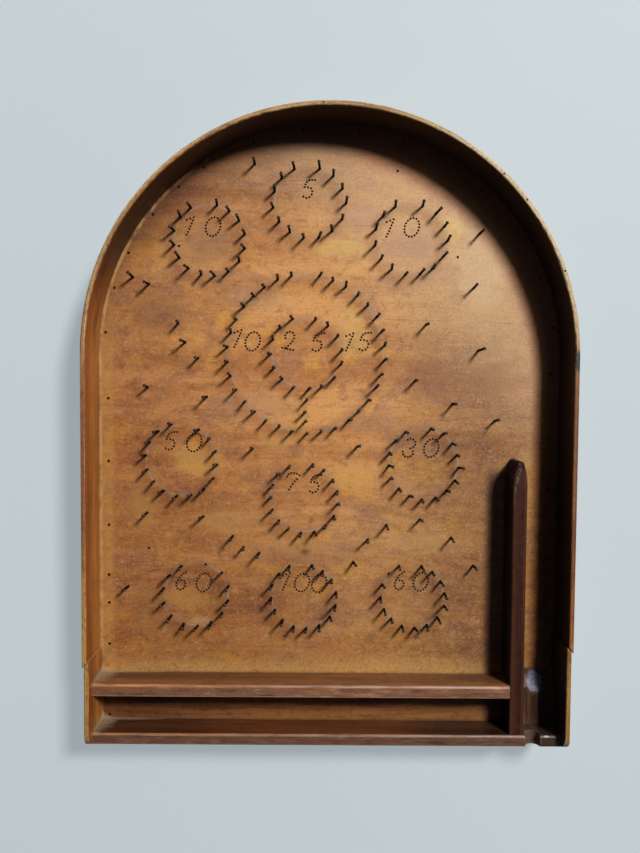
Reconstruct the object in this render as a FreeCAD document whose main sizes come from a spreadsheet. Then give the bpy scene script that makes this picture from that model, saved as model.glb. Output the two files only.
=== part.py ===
import FreeCAD, Part
import math
import os
import re
import Sketcher
from FreeCAD import Placement, Rotation, Vector

# A bagatelle board lying flat, as it is played. +Z is up from the playing surface,
# +Y runs up the board away from the player and +X is to the player's right.
# Outlines are drawn with Y counted from the board's lower end, and every piece is then
# placed half the board's length down, so the origin is under its middle. Millimetres.

doc = FreeCAD.newDocument("BagatelleBoard")
sheet = doc.addObject("Spreadsheet::Sheet", "Sizes")

UP = Vector(0, 0, 1)
FULL_TURN = 360.0
GOLDEN_ANGLE = 137.508
GOLDEN_SHARE = 0.618034

# ---------------------------------------------------------------- driving sizes

SIZES = [
    ("outer_width", 380, "across the bent rim, outside"),
    ("straight_side", 306.7, "from the lower end to where the arch springs"),
    ("rim_thickness", 4, "bent strip and lower side pieces"),
    ("rim_above_panel", 32, "rim standing above the playing surface"),
    ("rim_edge_round", 1.2, "worn upper edges of the rim"),
    ("side_step", 1.5, "lower side pieces stand in from the bent strip by this"),
    ("side_corner_round", 3, "outer lower corner of a side piece"),
    ("side_end_round", 12, "upper edge of a side piece's lower end"),
    ("splice_left", 67.7, "inner end of the left splice, up from the lower end"),
    ("splice_right", 81.7, "inner end of the right splice, up from the lower end"),
    ("panel_thickness", 8, "playing board"),
    ("ledger_height", 6, "strips under the board"),
    ("ledger_width", 15, "strips under the board"),
    ("rail_height", 23.5, "both rails, above the playing surface"),
    ("rail_round", 0.9, "upper edge of a rail towards the player"),
    ("rail_crest_round", 2.4, "upper edge of a rail towards the arch, worn by the balls"),
    ("bottom_rail_thickness", 9, ""),
    ("upper_rail_thickness", 10, ""),
    ("trough_width", 29.2, "between the rails"),
    ("lane_width", 29.5, "shooting lane, beside the right side piece"),
    ("divider_width", 11.5, ""),
    ("divider_height", 22.5, "above the playing surface"),
    ("divider_length", 221.5, "from the bottom rail to the point"),
    ("divider_nose", 24, "length of the pointed end"),
    ("divider_nose_round", 3, "blunt tip"),
    ("divider_end_round", 9, "upper edge of the tip"),
    ("divider_round", 1.6, "long upper edges"),
    ("notch_radius", 6, "half-round notch that guides the push stick"),
    ("notch_offset", 7.4, "notch centre from the divider's face"),
    ("notch_outer_depth", 5.5, "at the player's side"),
    ("notch_inner_depth", 9.5, "at the lane's side"),
    ("block_length", 44.7, "low block at the foot of the lane"),
    ("block_height", 5, ""),
    ("block_toe", 0.9, "height left at the scooped end"),
    ("block_scoop", 17, "length of the scooped end"),
    ("block_groove_depth", 1.3, "worn groove under the push stick"),
    ("pin_shank_radius", 1, ""),
    ("pin_height", 15, "above the playing surface"),
    ("pin_embed", 5, "in the board"),
    ("pin_sink", 2.5, "most that a pin is driven in deeper"),
    ("pin_point", 1.6, "length of the pin's point"),
    ("pin_head_radius", 1.35, ""),
    ("pin_head_height", 0.9, ""),
    ("pin_lean", 8, "most that a pin leans, in degrees"),
    ("pin_stray", 0.7, "most that a pin stands off its ring"),
    ("dot_radius", 0.95, "punched dot of a numeral"),
    ("dot_depth", 1.1, ""),
    ("dot_pitch", 2.45, "between punched dots"),
    ("numeral_height", 15, ""),
    ("numeral_slant", 0.16, "sideways lean over height"),
    ("panel_nail_inset", 7.5, "side nails from the rim's inner face"),
    ("arch_nail_inset", 4.5, "arch nails from the rim's inner face"),
    ("panel_nail_length", 12, ""),
    ("nail_shank_radius", 0.7, ""),
    ("nail_head_radius", 1.2, ""),
    ("nail_head_height", 0.6, ""),
    ("rim_nail_length", 15, ""),
    ("rim_nail_first", 36.7, "first side nail from the lower end"),
    ("rim_nail_pitch", 50, "along the sides"),
    ("rim_nail_step", 15, "along the arch, in degrees"),
    ("rail_nail_length", 24, "through a side piece into a rail's end"),
    ("screw_margin", 42, "first and last screw from the ends of a rail or the divider"),
    ("screw_radius", 1.5, "shank of the screws under the rails"),
    ("screw_head_radius", 3, ""),
    ("screw_head_height", 2, "countersunk head"),
    ("screw_length", 22, ""),
    ("screw_slot_width", 0.8, ""),
    ("screw_slot_depth", 0.8, ""),
    ("block_screw_length", 11, ""),
    ("rim_mark_radius", 0.8, "old nail holes in the rim's upper edge"),
    ("rim_mark_depth", 1, ""),
    ("field_axis_shift", 2.5, "pins' middle line from the middle of the field"),
]

# Pockets are rings of pins with the mouth towards the arch. Each has its centre, measured
# from a side of the field and from the rail or the foot of the arch, and its radius.
POCKETS = {
    "pins_5": ("middle", 1.6, "arch", 123.0, 28.6),
    "pins_10_left": ("left", 89.0, "arch", 93.1, 28.7),
    "pins_10_right": ("right", -79.0, "arch", 94.4, 28.7),
    "pins_outer_ring": ("middle", 0.0, "arch", 2.7, 63.2),
    "pins_inner_ring": ("middle", 0.0, "arch", 3.1, 29.0),
    "pins_50": ("left", 66.5, "rail", 174.7, 29.2),
    "pins_30": ("right", -66.5, "rail", 173.3, 28.9),
    "pins_75": ("middle", -0.8, "rail", 144.5, 28.1),
    "pins_60_left": ("left", 78.8, "rail", 65.0, 26.7),
    "pins_100": ("middle", -1.0, "rail", 63.9, 26.7),
    "pins_60_right": ("right", -74.2, "rail", 64.5, 26.3),
}

# How many places a pocket's ring has, the angles of the two beside its mouth, and the one
# place that has lost its pin.
PIN_COUNTS = {
    "pins_5": 14, "pins_10_left": 15, "pins_10_right": 14, "pins_outer_ring": 33,
    "pins_inner_ring": 15, "pins_50": 15, "pins_30": 16, "pins_75": 16,
    "pins_60_left": 12, "pins_100": 15, "pins_60_right": 15,
}
MOUTH_ANGLES = {
    "pins_5": (114, 73), "pins_10_left": (120, 78), "pins_10_right": (116, 71), "pins_outer_ring": (101, 81),
    "pins_inner_ring": (112, 75), "pins_50": (106, 60), "pins_30": (120, 78), "pins_75": (115, 76),
    "pins_60_left": (119, 40), "pins_100": (115, 76), "pins_60_right": (114, 74),
}
LOST_PIN = {"pins_60_right": 1}

# Punched numerals, each placed from its pocket's centre.
POCKET_NUMERALS = {
    "pins_5": [("5", -0.4, 11.4)],
    "pins_10_left": [("1", -14.7, 11.0), ("0", 2.9, 10.5)],
    "pins_10_right": [("1", -16.2, 9.3), ("0", 0.6, 9.9)],
    "pins_outer_ring": [("1", -54.6, 12.0), ("0", -43.3, 9.7), ("1", 35.5, 9.9), ("5", 47.2, 10.5)],
    "pins_inner_ring": [("2", -14.1, 9.9), ("5", 9.5, 9.3)],
    "pins_50": [("5", -8.4, 15.8), ("0", 10.3, 14.4)],
    "pins_30": [("3", -11.5, 12.5), ("0", 6.1, 12.5)],
    "pins_75": [("7", -9.1, 13.8), ("5", 8.7, 11.8)],
    "pins_60_left": [("6", -12.1, 10.9), ("0", 5.8, 9.5)],
    "pins_100": [("1", -13.6, 11.9), ("0", -1.4, 11.1), ("0", 12.6, 10.4)],
    "pins_60_right": [("6", -10.3, 12.7), ("0", 6.6, 11.6)],
}

# The short row that hangs below the inner ring: distances below the rings' centre.
SPINE_PINS = [38.3, 47.1, 54.3]

# Single pins of the field, placed as the pockets are.
FIELD_PINS = {
    ("left", "arch"): [(27.8, 63.0), (40.6, 57.7), (63.8, 26.4), (69.7, 11.4), (79.9, -1.2),
                       (39.2, -25.3), (87.1, -32.3)],
    ("left", "rail"): [(38.7, 131.6), (84.4, 128.7), (108.2, 112.9), (116.9, 103.7), (23.3, 71.2)],
    ("middle", "arch"): [(-42.0, 153.4)],
    ("middle", "rail"): [(-42.9, 184.2), (-37.4, 99.2), (39.0, 92.2), (51.2, 110.7), (66.0, 122.6),
                         (41.9, 186.6)],
    ("right", "arch"): [(-73.6, -17.9), (-43.5, -36.7), (-9.0, -50.4), (-65.9, 26.9), (-23.6, 6.3),
                        (-27.4, 56.9), (-23.9, 99.9)],
    ("right", "rail"): [(-69.1, 127.3), (-43.1, 112.8), (-24.9, 90.0)],
}

# Holes that have lost their pins, placed the same way.
EMPTY_HOLES = {
    ("left", "arch"): [(64.7, 88.1)],
    ("left", "rail"): [(40.0, 102.6), (86.2, 89.5), (66.7, 87.7)],
    ("middle", "arch"): [(72.0, 148.8)],
    ("right", "arch"): [(-41.2, 81.1)],
}

# Nails of the board's border: up each side, and round the arch in degrees from the right.
PANEL_NAIL_ROWS = {-1: [12.7, 71.7, 105.7, 128.7, 169.7, 221.7, 272.7],
                   1: [68.7, 103.7, 144.7, 200.7, 243.7, 294.7]}
PANEL_NAIL_ANGLES = [8, 21, 34, 48, 57.5, 71.5, 83, 97, 110, 124, 132, 141.5, 153, 162.5, 174]

# Where round the arch the rim's upper edge has an old nail hole, in degrees from the right.
RIM_MARK_ANGLES = [20, 38.5, 46.5, 92]

# Numerals as strokes in a box two units high, the centre at 0, 0.
NUMERALS = {
    "0": [[(0.0, 1.0), (-0.55, 0.7), (-0.78, 0.0), (-0.55, -0.7), (0.0, -1.0),
           (0.55, -0.7), (0.78, 0.0), (0.55, 0.7), (0.0, 1.0)]],
    "1": [[(-0.56, 0.62), (-0.22, 0.78), (0.14, 0.92)], [(0.1, 0.58), (-0.08, -0.1), (-0.32, -0.92)]],
    "2": [[(-0.42, 0.3), (-0.5, 0.7), (-0.1, 0.98), (0.38, 0.78), (0.5, 0.3), (0.2, -0.3), (-0.2, -0.74)],
          [(-0.62, -0.72), (0.0, -0.86), (0.62, -0.98)]],
    "3": [[(-0.35, 0.88), (0.1, 0.98), (0.55, 0.6), (0.48, 0.2), (0.1, -0.05)],
          [(0.42, -0.35), (0.38, -0.8), (0.0, -1.0), (-0.5, -0.8), (-0.68, -0.4)]],
    "5": [[(0.5, 0.92), (0.15, 0.92), (-0.2, 0.82), (-0.42, 0.5), (-0.5, 0.15)],
          [(-0.12, 0.14), (0.3, -0.05), (0.42, -0.42), (0.3, -0.8), (-0.05, -0.98), (-0.45, -0.85)]],
    "6": [[(0.3, 0.95), (-0.1, 0.6), (-0.42, 0.1), (-0.52, -0.45), (-0.3, -0.88), (0.1, -0.98),
           (0.45, -0.62), (0.35, -0.12), (-0.05, 0.0)]],
    "7": [[(-0.75, 0.45), (-0.5, 0.8), (0.0, 0.85), (0.55, 0.62)], [(0.35, 0.2), (0.0, -0.3), (-0.3, -0.95)]],
}

for row, (alias, number, note) in enumerate(SIZES, start=1):
    sheet.set("A%d" % row, alias)
    sheet.set("B%d" % row, str(number))
    sheet.set("C%d" % row, note)
    sheet.setAlias("B%d" % row, alias)
row = len(SIZES)
for name, (side, across, base, up, radius) in POCKETS.items():
    for part, number in (("across", across), ("up", up), ("radius", radius)):
        row += 1
        sheet.set("A%d" % row, name + "_" + part)
        sheet.set("B%d" % row, str(number))
        sheet.setAlias("B%d" % row, name + "_" + part)
doc.recompute()

# Sizes that follow from the driving ones, as expressions on the sheet.
HALF = "outer_width / 2"
INNER = "(outer_width / 2 - rim_thickness)"
SIDE_OUTER = "(outer_width / 2 - side_step)"
SIDE_INNER = "(outer_width / 2 - side_step - rim_thickness)"
RIM_HEIGHT = "(ledger_height + panel_thickness + rim_above_panel)"
SURFACE = "(ledger_height + panel_thickness)"
DIVIDER_RIGHT = "(outer_width / 2 - side_step - rim_thickness - lane_width)"
DIVIDER_LEFT = "(outer_width / 2 - side_step - rim_thickness - lane_width - divider_width)"
BOARD_PLACE = "-(straight_side + outer_width / 2) / 2"
UPPER_RAIL_FOOT = "(bottom_rail_thickness + trough_width)"
UPPER_RAIL_TOP = "(bottom_rail_thickness + trough_width + upper_rail_thickness)"
FIELD_SIDES = {
    "left": "-" + INNER,
    "middle": "(%s - %s) / 2 + field_axis_shift" % (DIVIDER_LEFT, INNER),
    "right": DIVIDER_LEFT,
}
FIELD_BASES = {"rail": UPPER_RAIL_TOP, "arch": "straight_side"}


def linked(text):
    """The expression with the sheet's name put before each alias."""
    return re.sub(r"[a-z]\w*(?![\w(])", lambda match: "Sizes." + match.group(0), text)


def value(text):
    """What an expression on the sheet comes to."""
    return float(sheet.evalExpression(linked(text)))


# ---------------------------------------------------------------- building helpers

def new_body(label, z):
    """A body whose own origin stands at height z."""
    body = doc.addObject("PartDesign::Body", label)
    body.Label = label
    body.setExpression("Placement.Base.y", linked(BOARD_PLACE))
    body.setExpression("Placement.Base.z", linked(z))
    return body


def draw_outline(body, name, plane, corners, arcs=None):
    """Closed sketch through corners tied to the sheet; arcs gives a side's centre and turn."""
    arcs = arcs or {}
    sketch = body.newObject("Sketcher::SketchObject", name)
    support = [item for item in body.Origin.OriginFeatures if item.Role == plane][0]
    sketch.AttachmentSupport = [(support, "")]
    sketch.MapMode = "FlatFace"
    points = [Vector(value(x), value(y), 0) for x, y in corners]
    ends = []
    for side, start in enumerate(points):
        stop = points[(side + 1) % len(points)]
        if side in arcs:
            centre = Vector(value(arcs[side][0]), value(arcs[side][1]), 0)
            low, high = (start, stop) if arcs[side][2] > 0 else (stop, start)
            angles = [math.atan2(p.y - centre.y, p.x - centre.x) for p in (low, high)]
            if angles[1] < angles[0]:
                angles[1] += 2 * math.pi
            circle = Part.Circle(centre, UP, centre.distanceToPoint(start))
            sketch.addGeometry(Part.ArcOfCircle(circle, angles[0], angles[1]))
            ends.append((1, 2) if arcs[side][2] > 0 else (2, 1))
        else:
            sketch.addGeometry(Part.LineSegment(start, stop))
            ends.append((1, 2))
    for side, (x, y) in enumerate(corners):
        before = side - 1 if side else len(corners) - 1
        sketch.addConstraint(Sketcher.Constraint("Coincident", before, ends[before][1], side, ends[side][0]))
        tie(sketch, "DistanceX", side, ends[side][0], x)
        tie(sketch, "DistanceY", side, ends[side][0], y)
    for side, (x, y, turn) in arcs.items():
        chord = points[(side + 1) % len(points)] - points[side]
        if abs(chord.x) > abs(chord.y):
            tie(sketch, "DistanceY", side, 3, y)
        else:
            tie(sketch, "DistanceX", side, 3, x)
    return sketch


def tie(sketch, kind, side, end, text):
    """Hold one coordinate of a sketch point, measured from the sketch's origin, to the sheet."""
    index = sketch.addConstraint(Sketcher.Constraint(kind, -1, 1, side, end, value(text)))
    sketch.setExpression("Constraints[%d]" % index, linked(text))


def pad(body, sketch, length):
    feature = body.newObject("PartDesign::Pad", body.Name + "_pad")
    feature.Profile = sketch
    feature.setExpression("Length", linked(length))
    sketch.Visibility = False
    doc.recompute()
    return feature


def pocket(body, sketch, depth, both_ways=False):
    """Cut an outline into the body, against the sketch's direction or to both sides of it."""
    feature = body.newObject("PartDesign::Pocket", sketch.Name + "_cut")
    feature.Profile = sketch
    feature.Midplane = both_ways
    feature.setExpression("Length", linked(depth))
    sketch.Visibility = False
    doc.recompute()
    return feature


def round_edges(body, radius, chosen):
    """Fillet the body's edges that the test picks; the test reads an edge in the body's frame."""
    base = body.Tip
    edges = ["Edge%d" % (i + 1) for i, edge in enumerate(base.Shape.Edges) if chosen(edge)]
    feature = body.newObject("PartDesign::Fillet", body.Name + "_round%d" % len(body.Group))
    feature.Base = (base, edges)
    feature.setExpression("Radius", linked(radius))
    doc.recompute()
    return feature


def at_height(height):
    """Test for edges that lie wholly at a height."""
    level = value(height)
    return lambda edge: all(abs(point.z - level) < 0.01 for point in edge.discretize(5))


def on_line(y, height):
    """Test for the edge that runs across the board at a distance up it and a height."""
    line, level = value(y), value(height)
    return lambda edge: all(max(abs(point.y - line), abs(point.z - level)) < 0.01 for point in edge.discretize(5))


def upright_at(x, y):
    """Test for the upright edge over a point."""
    spot = Vector(value(x), value(y), 0)

    def chosen(edge):
        ends = [vertex.Point for vertex in edge.Vertexes]
        flat = [Vector(end.x, end.y, 0).distanceToPoint(spot) for end in ends]
        return len(ends) == 2 and max(flat) < 0.01
    return chosen


def round_end(body, corners, centre):
    """Round over the top of a piece's end: the first side of the outline, seen from the side,
    is an arc about the centre."""
    sketch = draw_outline(body, body.Name + "_end", "YZ_Plane", corners, {0: (centre[0], centre[1], -1)})
    pocket(body, sketch, "outer_width", True)


def board(label, z, height, corners, arcs=None):
    """A piece cut to an outline from board of one thickness."""
    body = new_body(label, z)
    sketch = draw_outline(body, label + "_outline", "XY_Plane", corners, arcs)
    pad(body, sketch, height)
    return body


def rectangle(x0, x1, y0, y1):
    return [(x0, y0), (x1, y0), (x1, y1), (x0, y1)]


def turned(label, corners, arcs=None):
    """A turned piece, its half section given as radius and height, standing on its own origin."""
    body = new_body(label, "0")
    sketch = draw_outline(body, label + "_section", "XZ_Plane", corners, arcs)
    feature = body.newObject("PartDesign::Revolution", label + "_turned")
    feature.Profile = sketch
    feature.ReferenceAxis = (sketch, ["V_Axis"])
    feature.Angle = FULL_TURN
    sketch.Visibility = False
    doc.recompute()
    return body


def group(label, shapes):
    """Separate solids of one kind kept as one sub-part."""
    feature = doc.addObject("Part::Feature", label)
    feature.Label = label
    feature.Shape = Part.makeCompound(shapes)
    feature.Placement = Placement()
    feature.setExpression("Placement.Base.y", linked(BOARD_PLACE))
    return feature


def cut(label, base, tools):
    """The base with the tools' shapes taken out of it."""
    base.Label = label + "_blank"
    tool = tools[0]
    if len(tools) > 1:
        tool = doc.addObject("Part::Compound", label + "_cutters")
        tool.Links = tools
    feature = doc.addObject("Part::Cut", label)
    feature.Label = label
    feature.Base = base
    feature.Tool = tool
    doc.recompute()
    return feature


def placed(shape, spot, direction=None):
    """A copy of a standing shape, moved to a spot with its own Z turned to a direction."""
    copy = shape.copy()
    turn = Rotation(UP, direction) if direction else Rotation()
    copy.Placement = Placement(spot, turn)
    return copy


# ---------------------------------------------------------------- woodwork

def make_base_panel():
    corners = [
        ("-" + SIDE_INNER, "0"), (SIDE_INNER, "0"),
        (SIDE_INNER, "splice_right + side_step"), (INNER, "splice_right"),
        (INNER, "straight_side"), ("-" + INNER, "straight_side"),
        ("-" + INNER, "splice_left"), ("-" + SIDE_INNER, "splice_left + side_step"),
    ]
    return board("base_panel", "ledger_height", "panel_thickness", corners, {4: ("0", "straight_side", 1)})


def make_rim_arch():
    corners = [
        (HALF, "splice_right - rim_thickness"), (HALF, "straight_side"), ("-" + HALF, "straight_side"),
        ("-" + HALF, "splice_left - rim_thickness"), ("-" + INNER, "splice_left"),
        ("-" + INNER, "straight_side"), (INNER, "straight_side"), (INNER, "splice_right"),
    ]
    arcs = {1: ("0", "straight_side", 1), 5: ("0", "straight_side", -1)}
    body = board("rim_arch", "0", RIM_HEIGHT, corners, arcs)
    round_edges(body, "rim_edge_round", at_height(RIM_HEIGHT))
    return body


def make_rim_side(label, sign, splice):
    """Straight lower piece of the rim; its upper end is cut to the splice's slope."""
    outer, inner = sign + SIDE_OUTER, sign + SIDE_INNER
    inward = "-" if sign == "" else "+"
    turned_x = "%s %s side_corner_round" % (outer, inward)
    low_outer, low_turn = (outer, "side_corner_round"), (turned_x, "0")
    top_outer = (outer, splice + " - rim_thickness + side_step")
    top_inner = (inner, splice + " + side_step")
    if sign:
        corners, arc_side = [low_outer, low_turn, (inner, "0"), top_inner, top_outer], 0
    else:
        corners, arc_side = [(inner, "0"), low_turn, low_outer, top_outer, top_inner], 1
    body = board(label, "0", RIM_HEIGHT, corners, {arc_side: (turned_x, low_outer[1], 1)})
    round_edges(body, "rim_edge_round", at_height(RIM_HEIGHT))
    shoulder = "%s - side_end_round" % RIM_HEIGHT
    round_end(body, [("0", shoulder), ("side_end_round", RIM_HEIGHT), ("0", RIM_HEIGHT)], ("side_end_round", shoulder))
    return body


def make_rail(label, right_end, foot, top):
    """Rail across the foot of the board, its long upper edges rounded."""
    body = board(label, SURFACE, "rail_height", rectangle("-" + SIDE_INNER, right_end, foot, top))
    round_edges(body, "rail_round", on_line(foot, "rail_height"))
    round_edges(body, "rail_crest_round", on_line(top, "rail_height"))
    return body


def make_lane_divider():
    nose_foot = "bottom_rail_thickness + divider_length - divider_nose"
    tip = "bottom_rail_thickness + divider_length"
    sweep = "(divider_nose * divider_nose / divider_width + divider_width / 4)"
    middle = "(%s - divider_width / 2)" % DIVIDER_RIGHT
    corners = [
        (DIVIDER_LEFT, "bottom_rail_thickness"), (DIVIDER_RIGHT, "bottom_rail_thickness"),
        (DIVIDER_RIGHT, nose_foot), (middle, tip), (DIVIDER_LEFT, nose_foot),
    ]
    arcs = {
        2: ("%s - %s" % (DIVIDER_RIGHT, sweep), nose_foot, 1),
        3: ("%s + %s" % (DIVIDER_LEFT, sweep), nose_foot, 1),
    }
    body = board("lane_divider", SURFACE, "divider_height", corners, arcs)
    round_edges(body, "divider_nose_round", upright_at(middle, tip))
    rail_end = value("bottom_rail_thickness")
    upper = at_height("divider_height")
    round_edges(body, "divider_round", lambda edge: upper(edge) and edge.BoundBox.YMax > rail_end + 0.01)
    brow, shoulder = tip + " - divider_end_round", "divider_height - divider_end_round"
    round_end(body, [(brow, "divider_height"), (tip, shoulder), (tip, "divider_height")], (brow, shoulder))
    return body


def make_lane_block():
    """Low block across the foot of the lane; its upper end is scooped for the ball."""
    body = new_body("lane_block", SURFACE)
    body.setExpression("Placement.Base.x", linked(DIVIDER_RIGHT))
    foot, head = "bottom_rail_thickness", "bottom_rail_thickness + block_length"
    brow = "bottom_rail_thickness + block_length - block_scoop"
    drop = "(block_height - block_toe)"
    sweep = "((block_scoop * block_scoop + %s * %s) / (2 * %s))" % (drop, drop, drop)
    corners = [(foot, "0"), (head, "0"), (head, "block_toe"), (brow, "block_height"), (foot, "block_height")]
    sketch = draw_outline(body, "lane_block_side", "YZ_Plane", corners,
                          {2: (head, "block_toe + " + sweep, -1)})
    pad(body, sketch, "lane_width")
    return body


def make_stick_notch():
    """Cylinder along the push stick's way over the bottom rail, sloping down into the lane."""
    drop = value("notch_inner_depth - notch_outer_depth")
    run = value("bottom_rail_thickness")
    radius = value("notch_radius")
    slope = Vector(0, run, -drop).normalize()
    lift = Vector(0, drop, run).normalize() * radius
    rail_top = value(SURFACE + " + rail_height")
    floor = Vector(value(DIVIDER_RIGHT + " + notch_offset"), 0, rail_top - value("notch_outer_depth"))
    start = floor + lift - slope * radius * 2
    return group("stick_notch", [Part.makeCylinder(radius, run + radius * 4, start, slope)])


def make_block_groove():
    """Shallow round-bottomed groove along the block, in line with the notch."""
    radius = value("notch_radius")
    top = value(SURFACE + " + block_height - block_groove_depth")
    x = value(DIVIDER_RIGHT + " + notch_offset")
    start = Vector(x, value("bottom_rail_thickness") - radius, top + radius)
    length = value("block_length") + radius * 2
    return group("block_groove", [Part.makeCylinder(radius, length, start, Vector(0, 1, 0))])


def make_arch_ledgers():
    """Three curved strips under the arch, end to end."""
    outer, inner = SIDE_INNER, "(%s - ledger_width)" % SIDE_INNER
    pieces = []
    for label, first, last in (("right", 0, 60), ("top", 60, 120), ("left", 120, 180)):
        corners = []
        for radius, angle in ((outer, first), (outer, last), (inner, last), (inner, first)):
            corners.append(("%s * cos(%d)" % (radius, angle),
                            "straight_side + %s * sin(%d)" % (radius, angle)))
        arcs = {0: ("0", "straight_side", 1), 2: ("0", "straight_side", -1)}
        pieces.append(board("ledger_arch_" + label, "0", "ledger_height", corners, arcs))
    return pieces


def make_straight_ledgers():
    inner = "(%s - ledger_width)" % SIDE_INNER
    left = rectangle("-" + SIDE_INNER, "-" + inner, "0", "straight_side")
    right = rectangle(inner, SIDE_INNER, "0", "straight_side")
    bottom = rectangle("-" + inner, inner, "0", "ledger_width")
    return [board("ledger_" + name, "0", "ledger_height", corners)
            for name, corners in (("left", left), ("right", right), ("bottom", bottom))]


# ---------------------------------------------------------------- pins, nails and screws

def make_pin():
    """Pin with a domed head, its origin where it enters the board."""
    dome = "(pin_head_radius * pin_head_radius / pin_head_height + pin_head_height) / 2"
    return turned("pin_blank", [
        ("0", "-pin_embed"), ("pin_shank_radius", "pin_point - pin_embed"),
        ("pin_shank_radius", "pin_height - pin_head_height"),
        ("pin_head_radius", "pin_height - pin_head_height"), ("0", "pin_height"),
    ], {3: ("0", "pin_height - " + dome, 1)})


def make_nail(label, length):
    """Flat-headed nail, its origin at the top of the head."""
    return turned(label, [
        ("0", "-" + length), ("nail_shank_radius", "2 * nail_shank_radius - " + length),
        ("nail_shank_radius", "-nail_head_height"), ("nail_head_radius", "-nail_head_height"),
        ("nail_head_radius", "0"), ("0", "0"),
    ])


def make_screw(label, length):
    """Countersunk screw with a slotted head, its origin at the top of the head."""
    body = turned(label, [
        ("0", "-" + length), ("screw_radius", "2 * screw_radius - " + length),
        ("screw_radius", "-screw_head_height"), ("screw_head_radius", "0"), ("0", "0"),
    ])
    sketch = draw_outline(body, label + "_slot", "XY_Plane", rectangle(
        "-2 * screw_head_radius", "2 * screw_head_radius", "-screw_slot_width / 2", "screw_slot_width / 2"))
    pocket(body, sketch, "screw_slot_depth")
    return body


def uneven(number, most):
    """A share of the most, different for each number and spread evenly over many."""
    return most * ((number * GOLDEN_SHARE) % 1.0)


def leaning(number):
    """The way that a pin's head points: each pin leans a little its own way."""
    lean = math.radians(uneven(number, value("pin_lean")))
    way = math.radians(number * GOLDEN_ANGLE)
    return Vector(math.sin(lean) * math.cos(way), math.sin(lean) * math.sin(way), math.cos(lean))


def driven_in(spot, number):
    """A pin's spot, lowered by the depth that this pin was driven in beyond the others."""
    return spot - Vector(0, 0, uneven(number * number, value("pin_sink")))


def field_spot(side, base, across, up):
    """A point of the playing surface, measured from a side of the field and from its base line."""
    return Vector(value(FIELD_SIDES[side]) + across, value(FIELD_BASES[base]) + up, value(SURFACE))


def field_spots(table):
    return [field_spot(side, base, across, up) for (side, base), places in table.items()
            for across, up in places]


def pocket_centre(name, right=0.0, up=0.0):
    """A pocket's centre, or a point beside it."""
    side, base = POCKETS[name][0], POCKETS[name][2]
    return field_spot(side, base, value(name + "_across") + right, value(name + "_up") + up)


def pocket_spots(name):
    """Pin places round a pocket, from one side of its mouth round to the other."""
    first, last = MOUTH_ANGLES[name]
    count = round(PIN_COUNTS[name])
    step = (FULL_TURN + last - first) / (count - 1)
    spots = []
    for place in range(count):
        angle = math.radians(first + step * place)
        stray = value("pin_stray") * math.sin(GOLDEN_ANGLE * (place + count))
        radius = value(name + "_radius") + stray
        spots.append(pocket_centre(name, radius * math.cos(angle), radius * math.sin(angle)))
    return spots


def make_pins(pin):
    """All pins, a node for each pocket, and the spots of holes that have lost their pin."""
    rows = [(name, pocket_spots(name)) for name in POCKETS]
    rows.append(("pins_spine", [pocket_centre("pins_inner_ring", 0.0, -below) for below in SPINE_PINS]))
    rows.append(("pins_field", field_spots(FIELD_PINS)))
    nodes, empty, number = [], field_spots(EMPTY_HOLES), 0
    for name, spots in rows:
        pins = []
        for place, spot in enumerate(spots):
            number += 1
            if place == LOST_PIN.get(name):
                empty.append(spot)
            else:
                pins.append(placed(pin.Shape, driven_in(spot, number), leaning(number)))
        nodes.append(group(name, pins))
    return nodes, empty


def stroke_spots(points):
    """Evenly spaced dots along a smooth stroke through the points."""
    closed = points[0] == points[-1]
    curve = Part.BSplineCurve()
    curve.interpolate(Points=points[:-1] if closed else points, PeriodicFlag=closed)
    count = max(2, round(curve.length() / value("dot_pitch")) + 1)
    spots = curve.toShape().discretize(Number=count)
    return spots[:-1] if closed else spots


def make_dots():
    """Conical punch marks of the numerals, as cutters."""
    half = value("numeral_height") / 2
    slant = value("numeral_slant")
    mark = Part.makeCone(0, value("dot_radius") * 2, value("dot_depth") * 2)
    sink = Vector(0, 0, value("dot_depth"))
    marks = []
    for name, numerals in POCKET_NUMERALS.items():
        for numeral, right, up in numerals:
            centre = pocket_centre(name, right, up)
            for stroke in NUMERALS[numeral]:
                points = [centre + Vector((x + y * slant) * half, y * half, 0) for x, y in stroke]
                marks += [placed(mark, spot - sink) for spot in stroke_spots(points)]
    return group("numeral_punch", marks)


def make_empty_holes(spots):
    radius, depth = value("pin_shank_radius"), value("pin_embed")
    drills = [Part.makeCylinder(radius, 2 * depth, spot - Vector(0, 0, depth)) for spot in spots]
    return group("empty_hole_drill", drills)


def steps(first, pitch, last):
    """Even steps from the first that stay below the last."""
    return [first + pitch * i for i in range(int((last - first) / pitch) + 1)]


def spread(first, last, count):
    """Evenly spaced places, both ends included."""
    return [first + (last - first) * i / (count - 1) for i in range(count)]


def on_arch(radius, angle, z):
    """A point over the arch, its angle in degrees from the right."""
    turn = math.radians(angle)
    return Vector(radius * math.cos(turn), value("straight_side") + radius * math.sin(turn), z)


def make_panel_nails(nail):
    """Nails down through the board's border into the strips below."""
    surface = value(SURFACE)
    line, arch_line = value(INNER + " - panel_nail_inset"), value(INNER + " - arch_nail_inset")
    spots = [Vector(side * line, y, surface) for side, rows in PANEL_NAIL_ROWS.items() for y in rows]
    spots += [on_arch(arch_line, angle, surface) for angle in PANEL_NAIL_ANGLES]
    return group("panel_nails", [placed(nail.Shape, spot) for spot in spots])


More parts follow.
